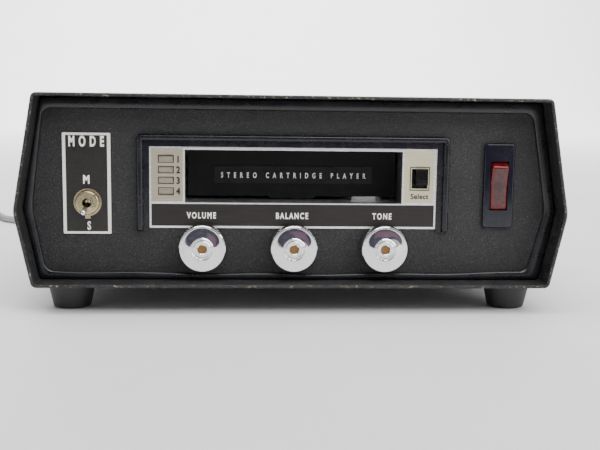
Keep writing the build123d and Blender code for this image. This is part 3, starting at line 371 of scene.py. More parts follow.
def granular_paint(name, dark, light, glint=True):
    """Fine granular paint, with small painted glints in its colour."""
    material, tree, shader, place_ = surface(name, dark, 0.5)
    grains = cells(tree, place_, 1500.0)
    fine = cloud(tree, place_, 1500.0, 4.0, 0.75)
    broad = cloud(tree, place_, 60.0, 3.0)
    height = calc(tree, "ADD", calc(tree, "MULTIPLY", grains, -0.6), fine)
    feed(tree, shader.inputs["Normal"], bump(tree, height, 0.9, 0.30 * MM))
    tone = calc(tree, "MULTIPLY", ramp(tree, fine, 0.42, 0.66), ramp(tree, broad, 0.3, 0.7, 0.6, 1.0))
    base = mix(tree, tone, dark, light)
    # painted glints: small bright dots mixed into the base colour stand in for highlights on the grains
    if glint:
        chance = add(tree, "ShaderNodeSeparateColor", {0: cells(tree, place_, 1900.0, "F1", 1)}).outputs[0]
        centre = ramp(tree, cells(tree, place_, 1900.0), 0.10, 0.40, 1.0, 0.0)
        painted_glint = calc(tree, "MULTIPLY", ramp(tree, chance, 0.78, 1.0, 0.0, 0.8), centre)
        base = mix(tree, painted_glint, base, (0.20, 0.20, 0.21))
    feed(tree, shader.inputs["Base Color"], base)
    feed(tree, shader.inputs["Roughness"], ramp(tree, fine, 0.3, 0.7, 0.38, 0.60))
    return material


def rubber(name, rgb, rough=0.45, dust=0.25):
    """Smooth rubber with a little dust in its pores."""
    material, tree, shader, place_ = surface(name, rgb, rough)
    pores = cloud(tree, place_, 1400.0, 2.0)
    broad = cloud(tree, place_, 90.0, 4.0)
    feed(tree, shader.inputs["Normal"], bump(tree, pores, 0.15, 0.10 * MM))
    paler = tuple(c * 1.9 + 0.006 for c in rgb)
    dusty = ramp(tree, broad, 0.4, 0.75, 0.0, dust * 2)
    feed(tree, shader.inputs["Base Color"], mix(tree, dusty, rgb, paler))
    feed(tree, shader.inputs["Roughness"], ramp(tree, broad, 0.3, 0.7, rough - 0.06, rough + 0.12))
    return material


def moulded(name, rgb, rough=0.35, grain=0.12, shine=0.5):
    """Moulded plastic with a faint moulded grain and handling marks."""
    material, tree, shader, place_ = surface(name, rgb, rough, Specular_IOR_Level=shine)
    fine = cloud(tree, place_, 2200.0, 2.0)
    marks = cloud(tree, place_, 130.0, 5.0, 0.7)
    feed(tree, shader.inputs["Normal"], bump(tree, fine, grain, 0.06 * MM))
    paler = tuple(c * 1.6 + 0.004 for c in rgb)
    feed(tree, shader.inputs["Base Color"], mix(tree, ramp(tree, marks, 0.45, 0.8), rgb, paler))
    feed(tree, shader.inputs["Roughness"], ramp(tree, marks, 0.35, 0.7, rough - 0.05, rough + 0.10))
    return material


def metal(name, rgb, rough=0.25, tarnish=(0.30, 0.24, 0.14), spots=0.35, brushed=None):
    """Plated or plain metal with light tarnish; brushed stretches its scratches along X, Y and Z."""
    material, tree, shader, place_ = surface(name, rgb, rough, 1.0)
    stretch = brushed or (1.0, 1.0, 1.0)
    lines = add(tree, "ShaderNodeMapping", {"Vector": place_, "Scale": stretch}).outputs[0]
    scratch = cloud(tree, lines, 900.0, 4.0, 0.7)
    blotch = cloud(tree, place_, 260.0, 5.0, 0.65)
    feed(tree, shader.inputs["Normal"], bump(tree, scratch, 0.10, 0.03 * MM))
    dulled = ramp(tree, blotch, 0.52, 0.78, 0.0, spots)
    feed(tree, shader.inputs["Base Color"], mix(tree, dulled, rgb, tarnish))
    lined = ramp(tree, scratch, 0.3, 0.7, rough * 0.7, rough * 1.3)
    hazed = ramp(tree, blotch, 0.5, 0.8, 0.0, 0.2)
    feed(tree, shader.inputs["Roughness"], calc(tree, "ADD", lined, hazed))
    return material


def printed_face():
    """The escutcheon: bright lines round champagne fields and a dark strip, all brushed along X; the left field is
    painted darker and the right lighter, as painted shade and light.
    """
    material, tree, shader, place_ = surface("printed_escutcheon", (0.80, 0.79, 0.77), 0.3, 1.0)
    axes = across(tree, place_)
    lines = add(tree, "ShaderNodeMapping", {"Vector": place_, "Scale": (0.03, 1.0, 1.0)}).outputs[0]
    scratch = cloud(tree, lines, 2400.0, 3.0, 0.7)
    dirt = cloud(tree, place_, 200.0, 5.0, 0.7)
    left, right = FACE_LOW[0], FACE_HIGH[0]
    top, foot = FACE_HIGH[2], FACE_LOW[2]
    line = 0.85 * MM
    strip_top = SILL_Z - 0.55 * MM
    strip = patch(tree, axes, (left + line, foot + 1.0 * MM), (right - line, strip_top))
    fields = calc(
        tree,
        "ADD",
        patch(tree, axes, (left + line, SILL_Z + 0.55 * MM), (-53.4 * MM, top - 0.75 * MM)),
        patch(tree, axes, (53.4 * MM, SILL_Z + 0.55 * MM), (right - 1.3 * MM, top - 0.75 * MM)),
    )
    silver = mix(tree, ramp(tree, dirt, 0.5, 0.8, 0.0, 0.35), (0.95, 0.945, 0.93), (0.60, 0.57, 0.50))
    # painted shade and light: one champagne in two copies, darker on the left field and lighter on the right
    field_painted_shade = mix(tree, ramp(tree, scratch, 0.3, 0.7), (0.33, 0.29, 0.215), (0.42, 0.375, 0.29))
    field_painted_light = mix(tree, ramp(tree, scratch, 0.3, 0.7), (0.54, 0.48, 0.33), (0.64, 0.58, 0.42))
    champagne = mix(tree, calc(tree, "GREATER_THAN", axes[0], 0.0), field_painted_shade, field_painted_light)
    dark = mix(tree, ramp(tree, scratch, 0.3, 0.75), (0.007, 0.0055, 0.0045), (0.020, 0.016, 0.013))
    base = mix(tree, fields, silver, champagne)
    base = mix(tree, strip, base, dark)
    feed(tree, shader.inputs["Base Color"], base)
    plain = calc(tree, "MAXIMUM", strip, calc(tree, "MULTIPLY", fields, 0.9))
    feed(tree, shader.inputs["Metallic"], calc(tree, "SUBTRACT", 0.5, calc(tree, "MULTIPLY", plain, 0.5)))
    lined = ramp(tree, scratch, 0.3, 0.7, 0.20, 0.32)
    feed(tree, shader.inputs["Roughness"], calc(tree, "ADD", lined, calc(tree, "MULTIPLY", plain, 0.16)))
    feed(tree, shader.inputs["Normal"], bump(tree, scratch, 0.18, 0.04 * MM))
    return material


def label_plate():
    """The mode plate: dark anodised with a pale printed frame."""
    material, tree, shader, place_ = surface("mode_label", (0.05, 0.05, 0.05), 0.4, 0.0)
    axes = across(tree, place_)
    line = 1.5 * MM
    slim = 1.1 * MM
    low = (PLATE_LOW[0] + line, PLATE_LOW[2] + slim)
    high = (PLATE_HIGH[0] - line, PLATE_HIGH[2] - slim)
    inside = patch(tree, axes, low, high)
    fine = cloud(tree, place_, 1300.0, 3.0)
    dark = mix(tree, ramp(tree, fine, 0.3, 0.7), (0.009, 0.0075, 0.0068), (0.022, 0.019, 0.017))
    feed(tree, shader.inputs["Base Color"], mix(tree, inside, (0.88, 0.87, 0.83), dark))
    feed(tree, shader.inputs["Roughness"], ramp(tree, fine, 0.3, 0.7, 0.34, 0.50))
    feed(tree, shader.inputs["Normal"], bump(tree, fine, 0.10, 0.05 * MM))
    return material


def clear_red():
    """Dark red translucent plastic: redder at the rim, dull in front, with the lamp as a dark spot."""
    material, tree, shader, place_ = surface("red_translucent", (0.30, 0.01, 0.012), 0.16)
    shader.inputs["Transmission Weight"].default_value = 0.25
    shader.inputs["IOR"].default_value = 1.49
    low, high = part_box("rocker_button")
    middle = (Vector(low) + Vector(high)) / 2
    axes = across(tree, place_)
    corners = [(middle.x + x * MM, middle.z + z * MM) for x, z in ((-2.9, -9.6), (2.9, 8.2))]
    front = patch(tree, axes, *corners)
    apart = [calc(tree, "SUBTRACT", axis, at) for axis, at in zip(axes, (middle.x, middle.z))]
    squares = [calc(tree, "MULTIPLY", side, side) for side in apart]
    away = calc(tree, "SQRT", calc(tree, "ADD", *squares))
    smear = cloud(tree, place_, 320.0, 4.0)
    feed(tree, shader.inputs["Roughness"], ramp(tree, smear, 0.3, 0.7, 0.10, 0.24))
    rim = mix(tree, ramp(tree, smear, 0.3, 0.7), (0.10, 0.002, 0.003), (0.19, 0.006, 0.008))
    dull = mix(tree, ramp(tree, smear, 0.35, 0.65), (0.060, 0.019, 0.019), (0.105, 0.036, 0.035))
    spot = ramp(tree, away, 2.0 * MM, 3.0 * MM, 0.75, 0.0)
    base = mix(tree, spot, mix(tree, front, rim, dull), (0.035, 0.016, 0.016))
    feed(tree, shader.inputs["Base Color"], base)
    return material


def frosted():
    """Pale translucent windows; their printed edges are the separate window frames."""
    material, tree, shader, place_ = surface("frosted_window", (0.36, 0.32, 0.24), 0.4)
    shader.inputs["Transmission Weight"].default_value = 0.25
    soft = cloud(tree, place_, 700.0, 3.0)
    base = mix(tree, ramp(tree, soft, 0.3, 0.7), (0.33, 0.29, 0.215), (0.43, 0.385, 0.30))
    feed(tree, shader.inputs["Base Color"], base)
    feed(tree, shader.inputs["Normal"], bump(tree, soft, 0.2, 0.1 * MM))
    return material


def glass():
    """Lamp glass."""
    material, tree, shader, place_ = surface("lamp_glass", (0.95, 0.90, 0.82), 0.05)
    shader.inputs["Transmission Weight"].default_value = 0.9
    shader.inputs["IOR"].default_value = 1.45
    haze = cloud(tree, place_, 500.0, 3.0)
    feed(tree, shader.inputs["Roughness"], ramp(tree, haze, 0.3, 0.7, 0.03, 0.15))
    return material


def board_finish():
    """Paper laminate with a copper side showing through."""
    material, tree, shader, place_ = surface("board_laminate", (0.36, 0.24, 0.09), 0.5)
    weave = cloud(tree, place_, 500.0, 5.0)
    tracks = cells(tree, place_, 160.0, "DISTANCE_TO_EDGE")
    base = mix(tree, ramp(tree, weave, 0.3, 0.7), (0.26, 0.16, 0.06), (0.44, 0.31, 0.13))
    copper = ramp(tree, tracks, 0.05, 0.09, 0.6, 0.0)
    feed(tree, shader.inputs["Base Color"], mix(tree, copper, base, (0.10, 0.12, 0.04)))
    return material


# ---------------------------------------------------------------- stage


def camera(looks):
    """The camera, level with the top of the case and a little to its left."""
    yaw, pitch, roll = math.radians(3.62), math.radians(7.93), math.radians(0.795)
    ahead = Vector((math.sin(yaw) * math.cos(pitch), math.cos(yaw) * math.cos(pitch), -math.sin(pitch)))
    level = Vector((math.cos(yaw), -math.sin(yaw), 0))
    upright = level.cross(ahead)
    right = level * math.cos(roll) + upright * math.sin(roll)
    up = upright * math.cos(roll) - level * math.sin(roll)
    eye = link("camera", bpy.data.cameras.new("camera"))
    eye.data.lens = looks.lens
    eye.data.sensor_width = 36.0
    eye.data.clip_start = 0.01
    eye.data.clip_end = 100.0
    turn = Matrix((right, up, -ahead)).transposed().to_4x4()
    eye.matrix_world = Matrix.Translation((-0.02519, -0.54263, 0.10378)) @ turn
    bpy.context.scene.camera = eye


def softbox(name, at, aim, size, power):
    """A square soft light that looks at a point."""
    lamp = bpy.data.lights.new(name, "AREA")
    lamp.shape = "RECTANGLE"
    lamp.size, lamp.size_y = size
    lamp.energy = power
    holder = link(name, lamp)
    holder.location = at
    holder.rotation_euler = (Vector(aim) - Vector(at)).to_track_quat("-Z", "Y").to_euler()


class PLAYER_OT_stage(bpy.types.Operator):
    """Set up the floor, the soft lights, the air round the table and the camera"""

    bl_idname = "player.stage"
    bl_label = "Stage"

    def execute(self, context):
        looks = context.scene.player_stage
        camera(looks)
        bm = bmesh.new()
        sweep = [bm.verts.new((-9.0, y, z)) for y, z in ((-9.0, 0.0), (4.2, 0.0), (4.2, 5.0))]
        for pair in zip(sweep, sweep[1:]):
            bm.edges.new(pair)
        bmesh.ops.bevel(
            bm, geom=[sweep[1]], offset=1.6, segments=24, affect="VERTICES", profile=0.5, material=-1
        )
        made = bmesh.ops.extrude_edge_only(bm, edges=bm.edges[:])
        bmesh.ops.translate(bm, verts=moved_verts(made), vec=(18.0, 0, 0))
        material, tree, shader, place_ = surface("floor_paper", looks.floor, 0.65)
        mottle = cloud(tree, place_, 9.0, 3.0)
        pale = tuple(min(1.0, c * 1.03) for c in looks.floor)
        feed(tree, shader.inputs["Base Color"], mix(tree, ramp(tree, mottle, 0.3, 0.7), looks.floor, pale))
        mesh = bpy.data.meshes.new("floor")
        bmesh.ops.recalc_face_normals(bm, faces=bm.faces)
        bm.to_mesh(mesh)
        bm.free()
        mesh.shade_smooth()
        mesh.materials.append(material)
        link("floor", mesh)
        self.card(looks)
        world = bpy.data.worlds.new("surround")
        world.use_nodes = True
        air = world.node_tree.nodes["Background"]
        air.inputs["Color"].default_value = (*looks.surround, 1.0)
        air.inputs["Strength"].default_value = looks.surround_light
        context.scene.world = world
        softbox("overhead", (-0.10, -0.20, 1.25), (0.0, 0.0, 0.05), (1.3, 0.9), 0.8 * looks.softbox)
        softbox("ceiling", (0.45, -1.15, 1.15), (0.0, -0.1, 0.06), (1.3, 0.6), 0.7 * looks.softbox)
        softbox("right", (1.2, -0.75, 0.6), (0.0, -0.1, 0.06), (0.6, 0.6), 0.3 * looks.softbox)
        softbox("backdrop", (0.0, 1.8, 2.4), (0.0, 4.2, 0.6), (3.0, 1.0), looks.backdrop)
        return {"FINISHED"}

    @staticmethod
    def card(looks):
        """A dark card round the camera, so that the plating has something dark to mirror."""
        bm = bmesh.new()
        box(bm, (-0.42, -0.575, 0.0), (0.30, -0.565, 0.42))
        mesh = bpy.data.meshes.new("card")
        bm.to_mesh(mesh)
        bm.free()
        material, tree, shader, place_ = surface("card_cloth", looks.card, 0.9)
        weave = cloud(tree, place_, 5.0, 2.0)
        flush = tuple(share * c for share, c in zip((4.0, 2.0, 2.0), looks.card))
        feed(tree, shader.inputs["Base Color"], mix(tree, ramp(tree, weave, 0.50, 0.60), looks.card, flush))
        mesh.materials.append(material)
        card = link("card", mesh)
        card.visible_camera = False


# ---------------------------------------------------------------- lead

EXIT = (-96.0, 127.0, 32.5)
FLOOR_LINE = 2.70
LEAD_ROUTE = (
    EXIT,
    (-96.0, 145.0, 32.5),
    (-99.0, 163.0, 24.0),
    (-107.0, 180.0, 11.0),
    (-124.0, 194.0, FLOOR_LINE),
    (-150.0, 198.0, FLOOR_LINE),
    (-186.0, 190.0, FLOOR_LINE),
    (-214.0, 208.0, FLOOR_LINE),
    (-222.0, 229.0, FLOOR_LINE),
    (-233.9, 247.3, FLOOR_LINE),
)
COIL_CENTRE = (-265.0, 227.1)
COIL_RADII = (37.1, 31.8, 26.5, 21.2)
COIL_START = 33.0
COIL_END = 180.0
COIL_STEPS = 16
COIL_JOG = 3
PLUG_X = -307.5
PLUG_Z = 7.1
BOOT_END = 200.0
PLUG_BODY = (26.0, 34.0, 14.0)
LEAD_TAIL = (
    (-302.6, 223.0, 13.3),
    (-304.4, 215.0, 12.0),
    (-307.3, 207.5, 8.2),
    (PLUG_X, 201.5, PLUG_Z),
    (PLUG_X, 197.0, PLUG_Z),
)


def coil_turns(diameter):
    """The coil's points: inwards along the floor, outwards on top of that, and off over the last turn."""
    layers = [FLOOR_LINE, FLOOR_LINE + diameter, FLOOR_LINE + 2 * diameter]
    rings = [(r, layers[0]) for r in COIL_RADII] + [(r, layers[1]) for r in reversed(COIL_RADII)]
    rings += [(COIL_RADII[0], layers[2])] * 2
    wider = 1.0 / math.cos(math.pi / COIL_STEPS)
    turns = len(rings) - 2 + (COIL_END - COIL_START) / 360.0
    points = []
    for i in range(1, int(turns * COIL_STEPS) + 1):
        ring, step = divmod(i, COIL_STEPS)
        share = max(0.0, (step - COIL_STEPS + COIL_JOG) / COIL_JOG)
        radius = rings[ring][0] * (1 - share) + rings[ring + 1][0] * share
        height = rings[ring][1] * (1 - share) + rings[ring + 1][1] * share
        angle = math.radians(COIL_START + 360.0 * i / COIL_STEPS)
        x = COIL_CENTRE[0] + wider * radius * math.cos(angle)
        y = COIL_CENTRE[1] + wider * radius * math.sin(angle)
        points.append((x, y, height))
    return points


class PLAYER_OT_lead(bpy.types.Operator):
    """Lay the mains lead from its boot to its coil and its plug"""

    bl_idname = "player.lead"
    bl_label = "Mains lead"

    def execute(self, context):
        looks = context.scene.player_lead
        sheath = rubber("lead_sheath", looks.grey, 0.42, 0.15)
        points = [*LEAD_ROUTE, *coil_turns(looks.diameter / MM), *LEAD_TAIL]
        curve = bpy.data.curves.new("lead", "CURVE")
        curve.dimensions = "3D"
        spline = curve.splines.new("NURBS")
        spline.points.add(len(points) - 1)
        for point, at in zip(spline.points, points):
            point.co = (*(c * MM for c in at), 1.0)
        spline.order_u = 3
        spline.use_endpoint_u = True
        spline.resolution_u = 6
        curve.bevel_depth = looks.diameter / 2
        curve.bevel_resolution = 5
        curve.use_fill_caps = True
        curve.materials.append(sheath)
        lead = link("lead", curve)
        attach(lead, CASE)
        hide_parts("mains_cord", "cord_coil")

        boot = self.boot(sheath)
        plug, pins = self.plug(rubber("plug_body", looks.grey, 0.38, 0.12))
        tie = self.tie()
        self.measure(lead)
        return {"FINISHED"}

    @staticmethod
    def measure(lead):
        """The length of the lead's line."""
        bare = lead.data.copy()
        bare.bevel_depth = 0.0
        holder = bpy.data.objects.new("line", bare)
        mesh = bpy.data.meshes.new_from_object(holder)
        line = [vert.co.copy() for vert in mesh.vertices]
        bpy.data.objects.remove(holder)
        bpy.data.meshes.remove(mesh)
        bpy.data.curves.remove(bare)
        return sum((b - a).length for a, b in zip(line, line[1:]))

    @staticmethod
    def boot(material):
        """The ribbed boot that holds the lead where it leaves the back."""
        bm = bmesh.new()
        back = 104.0
        profile = [(-7.4, 2.7), (-7.4, 8.0), (-6.6, 8.0), (-6.6, 6.5)]
        profile += [(0.0, 6.5), (0.0, 7.8), (2.2, 7.8), (2.5, 7.4)]
        profile += [(2.5, 5.6)]
        ribs = 6
        for i in range(ribs):
            start = 3.6 + 3.2 * i
            radius = 5.4 - 0.26 * i
            profile += [(start, radius - 0.75), (start + 0.5, radius)]
            profile += [(start + 1.5, radius), (start + 2.0, radius - 0.8)]
        profile += [(23.0, 3.75), (23.0, 2.7), (-7.4, 2.7)]
        centre = (EXIT[0] * MM, back * MM, EXIT[2] * MM)
        lathe(bm, [(a * MM, r * MM) for a, r in profile], centre, "Y", 40)
        piece = finish(bm, "lead_boot", CASE, material)
        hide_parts("cord_grommet")
        return piece

    @staticmethod
    def plug(material):
        """The moulded plug: a waisted body, a ribbed boot and two sleeved pins."""
        wide, long, thick = PLUG_BODY
        face = BOOT_END - 14.0 - long
        bm = bmesh.new()
        low = (PLUG_X - wide / 2, face, 0.1)
        high = (PLUG_X + wide / 2, face + long, thick + 0.1)
        box(bm, [c * MM for c in low], [c * MM for c in high], 3.6 * MM, 4)
        bmesh.ops.subdivide_edges(
            bm, edges=[e for e in bm.edges if e.calc_length() > 20 * MM], cuts=6, use_grid_fill=True
        )
        for vert in bm.verts:
            along = (vert.co.y / MM - face) / long
            waist = 1.0 - 0.34 * max(0.0, along - 0.15) ** 1.4
            vert.co.x = PLUG_X * MM + (vert.co.x - PLUG_X * MM) * waist
        for i in range(5):
            y = (face + 14.0 + 3.2 * i) * MM
            half = (9.6 - 0.7 * i) * MM
            middle = PLUG_X * MM
            box(bm, (middle - half, y, 0.1 * MM), (middle + half, y + 1.2 * MM, (thick - 0.1) * MM), 0.5 * MM, 2)
        profile = [(-1.0, 0.0), (-1.0, 5.6), (0.0, 5.6)]
        for i in range(4):
            radius = 5.3 - 0.42 * i
            start = 0.8 + 3.2 * i
            profile += [(start, radius - 0.7), (start + 0.5, radius)]
            profile += [(start + 1.5, radius), (start + 2.0, radius - 0.7)]
        profile += [(14.0, 3.4), (14.0, 0.0)]
        centre = (PLUG_X * MM, (BOOT_END - 14.0) * MM, PLUG_Z * MM)
        lathe(bm, [(a * MM, r * MM) for a, r in profile], centre, "Y", 32)
        for side in (-1, 1):
            sleeve = [(0.5, 0.0), (0.5, 2.4), (-9.6, 2.2), (-10.0, 2.0), (-10.0, 0.0)]
            centre = ((PLUG_X + side * 9.5) * MM, face * MM, PLUG_Z * MM)
            lathe(bm, [(a * MM, r * MM) for a, r in sleeve], centre, "Y", 24)
        body = finish(bm, "plug_body", CASE, material)
        bm = bmesh.new()
        for side in (-1, 1):
            pin = [(-9.9, 0.0), (-9.9, 1.95), (-17.2, 2.0), (-18.4, 1.5), (-19.0, 0.6), (-19.0, 0.0)]
            centre = ((PLUG_X + side * 9.5) * MM, face * MM, PLUG_Z * MM)
            lathe(bm, [(a * MM, r * MM) for a, r in pin], centre, "Y", 24)
        pins = finish(bm, "plug_pins", CASE, metal("pin_brass", (0.72, 0.62, 0.36), 0.25, spots=0.2))
        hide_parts("mains_plug")
        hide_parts("mains_plug")
        return body, pins

    @staticmethod
    def tie():
        """The strap that holds the coil together."""
        middle = COIL_CENTRE[1] - sum(COIL_RADII) / len(COIL_RADII)
        bm = bmesh.new()
        box(
            bm,
            [c * MM for c in (COIL_CENTRE[0] - 3.0, middle - 11.5, 0.0)],
            [c * MM for c in (COIL_CENTRE[0] + 3.0, middle + 11.5, 11.8)],
        )
        ends = [f for f in bm.faces if abs(f.normal.x) > 0.9]
        bmesh.ops.delete(bm, geom=ends, context="FACES_ONLY")
        across = [e for e in bm.edges if abs((e.verts[1].co - e.verts[0].co).x) > 1 * MM]
        bmesh.ops.bevel(
            bm, geom=across, offset=2.6 * MM, segments=6, affect="EDGES", profile=0.5, material=-1
        )
        bmesh.ops.recalc_face_normals(bm, faces=bm.faces)
        bmesh.ops.solidify(bm, geom=bm.faces, thickness=0.5 * MM)
        return finish(bm, "lead_tie", CASE, moulded("tie_strap", (0.05, 0.05, 0.052), 0.45))


# ---------------------------------------------------------------- case


def six_corners(top, belt, bottom, low, middle, high):
    """The corners of a six-sided section, anticlockwise from the bottom left, in metres."""
    half = [(-bottom, low), (bottom, low), (belt, middle), (top, high), (-top, high), (-belt, middle)]
    return [(x * MM, z * MM) for x, z in half]


def slice_along(bm, axis, places):
    """Cuts a mesh across an axis at each place, so that it can bend there."""
    normal = {"X": (1, 0, 0), "Y": (0, 1, 0), "Z": (0, 0, 1)}[axis]
    for place_ in places:
        at = Vector(normal) * place_ * MM
        everything = bm.verts[:] + bm.edges[:] + bm.faces[:]
        bmesh.ops.bisect_plane(bm, geom=everything, dist=0.01 * MM, plane_co=at, plane_no=normal)


class PLAYER_OT_case(bpy.types.Operator):
    """Fold the grained sleeve and rub its rims"""

    bl_idname = "player.case"
    bl_label = "Case sleeve"

    def execute(self, context):
        looks = context.scene.player_cover
        front, back = CASE_LOW[1], CASE_HIGH[1]
        bm = bmesh.new()
        corners = six_corners(121.15, 130.7, 123.1, 13.0, 48.6, 103.7)
        outline(bm, corners, front, 2.2 * MM, 6)
        face = bm.faces[:]
        made = bmesh.ops.extrude_face_region(bm, geom=face)
        moved = [item for item in made["geom"] if isinstance(item, bmesh.types.BMVert)]
        bmesh.ops.translate(bm, verts=moved, vec=(0, back - front, 0))
        lids = [f for f in bm.faces if abs(f.normal.y) > 0.9 or len(f.verts) > 4]
        bmesh.ops.delete(bm, geom=lids, context="FACES_ONLY")
        bmesh.ops.recalc_face_normals(bm, faces=bm.faces)
        slice_along(bm, "X", range(-112, 113, 8))
        slice_along(bm, "Z", range(24, 97, 8))
        bmesh.ops.recalc_face_normals(bm, faces=bm.faces)
        if sum(f.normal.x * f.calc_center_median().x for f in bm.faces) < 0:
            bmesh.ops.reverse_faces(bm, faces=bm.faces)
        bmesh.ops.solidify(bm, geom=bm.faces, thickness=looks.wall)
        rims = [
            e
            for e in bm.edges
            if min(abs(e.verts[0].co.y - y) for y in (front, back)) < 0.01 * MM
            and abs(e.verts[0].co.y - e.verts[1].co.y) < 0.01 * MM
            and abs(e.calc_face_angle(0.0)) > 1.0
        ]
        bmesh.ops.bevel(
            bm, geom=rims, offset=looks.rim, segments=3, affect="EDGES", profile=0.5, material=-1
        )
        slice_along(bm, "Y", (front / MM + 2.0, front / MM + 5.0, back / MM - 5.0, back / MM - 2.0))
        rubbed = bm.verts.layers.float.new("rubbed")
        for vert in bm.verts:
            edge = min(vert.co.y - front, back - vert.co.y) / MM
            vert[rubbed] = max(0.0, 1.0 - edge / 2.2)
            if edge < 2.5:
                wave = noise.noise(vert.co * 55.0) * 0.22 + noise.noise(vert.co * 190.0) * 0.10
                vert.co.z -= abs(wave) * MM * (1.0 - edge / 2.5)
        sleeve = finish(bm, "sleeve", CASE, covering(looks))
        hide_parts("case_sleeve")
        pad = rubber("foot_rubber", (0.018, 0.018, 0.019), 0.5, 0.3)
        paint(pad, "foot_front_left", "foot_front_right", "foot_rear_left", "foot_rear_right")
        return {"FINISHED"}


class PLAYER_OT_edging(bpy.types.Operator):
    """Press the rubber edging in between the sleeve and the front panel"""

    bl_idname = "player.edging"
    bl_label = "Rubber edging"

    def execute(self, context):
        low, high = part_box("panel_edging")
        front, back = low[1], high[1]
        outer = six_corners(119.7, 128.9, 121.7, 14.8, 48.6, 101.9)
        inner = [(-118.6, 19.0), (115.6, 19.0), (123.2, 48.6), (115.3, 96.2), (-118.65, 96.2), (-124.4, 48.6)]
        inner = [(x * MM, z * MM) for x, z in inner]
        stops = [(0.0, back), (0.0, front + 1.3 * MM), (0.06, front + 0.5 * MM), (0.18, front), (0.82, front)]
        stops += [(0.94, front + 0.5 * MM), (1.0, front + 1.3 * MM), (1.0, back), (0.0, back)]
        rings = []
        for share, y in stops:
            corners = [(a[0] + share * (b[0] - a[0]), a[1] + share * (b[1] - a[1])) for a, b in zip(outer, inner)]
            sheet = bmesh.new()
            outline(sheet, corners, y, (1.6 + 2.4 * share) * MM, 8)
            sheet.faces.ensure_lookup_table()
            rings.append([vert.co.copy() for vert in sheet.faces[0].verts])
            sheet.free()
        bm = bmesh.new()
        number = bm.verts.layers.int.new("number")
        first = [bm.verts.new(at) for at in rings[0]]
        edges = [bm.edges.new(pair) for pair in zip(first, first[1:] + first[:1])]
        for i, vert in enumerate(first):
            vert[number] = i
        for ring in rings[1:]:
            made = bmesh.ops.extrude_edge_only(bm, edges=edges)
            moved = [item for item in made["geom"] if isinstance(item, bmesh.types.BMVert)]
            for vert in moved:
                vert.co = ring[vert[number]]
            edges = [e for e in made["geom"] if isinstance(e, bmesh.types.BMEdge)]
            edges = [e for e in edges if all(v in moved for v in e.verts)]
        slice_along(bm, "X", range(-110, 111, 7))
        for vert in bm.verts:
            x, z = vert.co.x / MM, vert.co.z / MM
            inner = max(0.0, min(1.0, (z - 14.8) / 4.2)) * max(0.0, min(1.0, (26.0 - z) / 6.0))
            if z < 26.0 and abs(x) < 114:
                droop = 1.3 * inner * (1 - (x / 114) ** 2) + 0.35 * inner * math.sin(x / 9.5)
                vert.co.z -= droop * MM
        black = rubber("edging_rubber", (0.0075, 0.008, 0.0095), 0.27, 0.3)
        edging = finish(bm, "edging", CASE, black, 60)
        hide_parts("panel_edging")
        return {"FINISHED"}


# ---------------------------------------------------------------- front


def ring_of(bm, low, high, y, width, rise):
    """A flat printed frame in X and Z, standing rise proud of y."""
    (left, foot), (right, top) = low, high
    sides = (
        ((left, foot), (right, foot + width)),
        ((left, top - width), (right, top)),
        ((left, foot + width), (left + width, top - width)),
        ((right - width, foot + width), (right, top - width)),
    )
    for (x0, z0), (x1, z1) in sides:
        box(bm, (x0 * MM, y - rise * MM, z0 * MM), (x1 * MM, y, z1 * MM))


class PLAYER_OT_front(bpy.types.Operator):
    """Paint the front panel, its beaded surround and the printed escutcheon"""

    bl_idname = "player.front"
    bl_label = "Front and escutcheon"

    def execute(self, context):
        looks = context.scene.player_letters
        paint(granular_paint("front_paint", (0.0035, 0.0035, 0.004), (0.034, 0.034, 0.036)), "front_panel")
        paint(moulded("surround_plastic", (0.006, 0.007, 0.010), 0.24, 0.25), "player_bezel")
        paint(printed_face(), "escutcheon")
        paint(frosted(), "track_lenses")
        paint(glass(), "track_lamps")
        paint(moulded("button_black", (0.005, 0.005, 0.005), 0.18), "select_button")
        paint(moulded("switch_black", (0.012, 0.012, 0.012), 0.45), "select_switch")
        dark = moulded("print_black", (0.010, 0.009, 0.008), 0.5, 0.05)
        bm = bmesh.new()
        low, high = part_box("track_lenses")
        pitch = (high[2] - low[2] - 4.2 * MM) / 3 / MM
        for i in range(4):
            z = high[2] / MM - 2.1 - pitch * i
            ring_of(bm, (low[0] / MM - 0.2, z - 1.75), (high[0] / MM + 0.2, z + 1.75), FACE_Y, 0.34, 0.06)
        ring_of(bm, (56.2, 58.6), (65.9, 70.2), FACE_Y, 0.4, 0.06)
        finish(bm, "window_frames", CASE, dark)
        for i in range(4):
            z = high[2] / MM - 2.1 - pitch * i
            at = (-55.6 * MM, FACE_Y, (z - 1.6) * MM)
            words(f"track_number_{i + 1}", str(i + 1), 3.3 * MM, at, CASE, dark, 0.85, 0.045)
        at = (61.1 * MM, FACE_Y, 54.6 * MM)
        words("select_word", "Select", 2.5 * MM, at, CASE, dark, 0.98, 0.034, 1.08)
        ink = moulded("letter_ink", looks.white, 0.5, 0.05)
        for name, x in (("VOLUME", -44.5), ("BALANCE", -0.9), ("TONE", 43.0)):
            at = (x * MM, FACE_Y, 44.5 * MM)
            words(f"{name.lower()}_word", name, 3.0 * MM, at, CASE, ink, 0.70, 0.045, 1.36)
        return {"FINISHED"}


class PLAYER_OT_door(bpy.types.Operator):
    """Paint the cartridge door and its strip, and letter the door"""

    bl_idname = "player.door"
    bl_label = "Cartridge door"

    def execute(self, context):
        looks = context.scene.player_letters
        paint(moulded("door_black", (0.0025, 0.0025, 0.0032), 0.5, 0.4, 0.22), "cartridge_door")
        paint(moulded("strip_black", (0.003, 0.003, 0.0035), 0.30, 0.1, 0.35), "door_strip")
        ink = moulded("door_ink", looks.white, 0.45, 0.05)
        at = (STRIP_LOW[0] / 2 + STRIP_HIGH[0] / 2, STRIP_LOW[1], 62.55 * MM)
        words("door_words", looks.door, 2.7 * MM, at, "door", ink, 0.64, 0.035, 2.62)
        return {"FINISHED"}


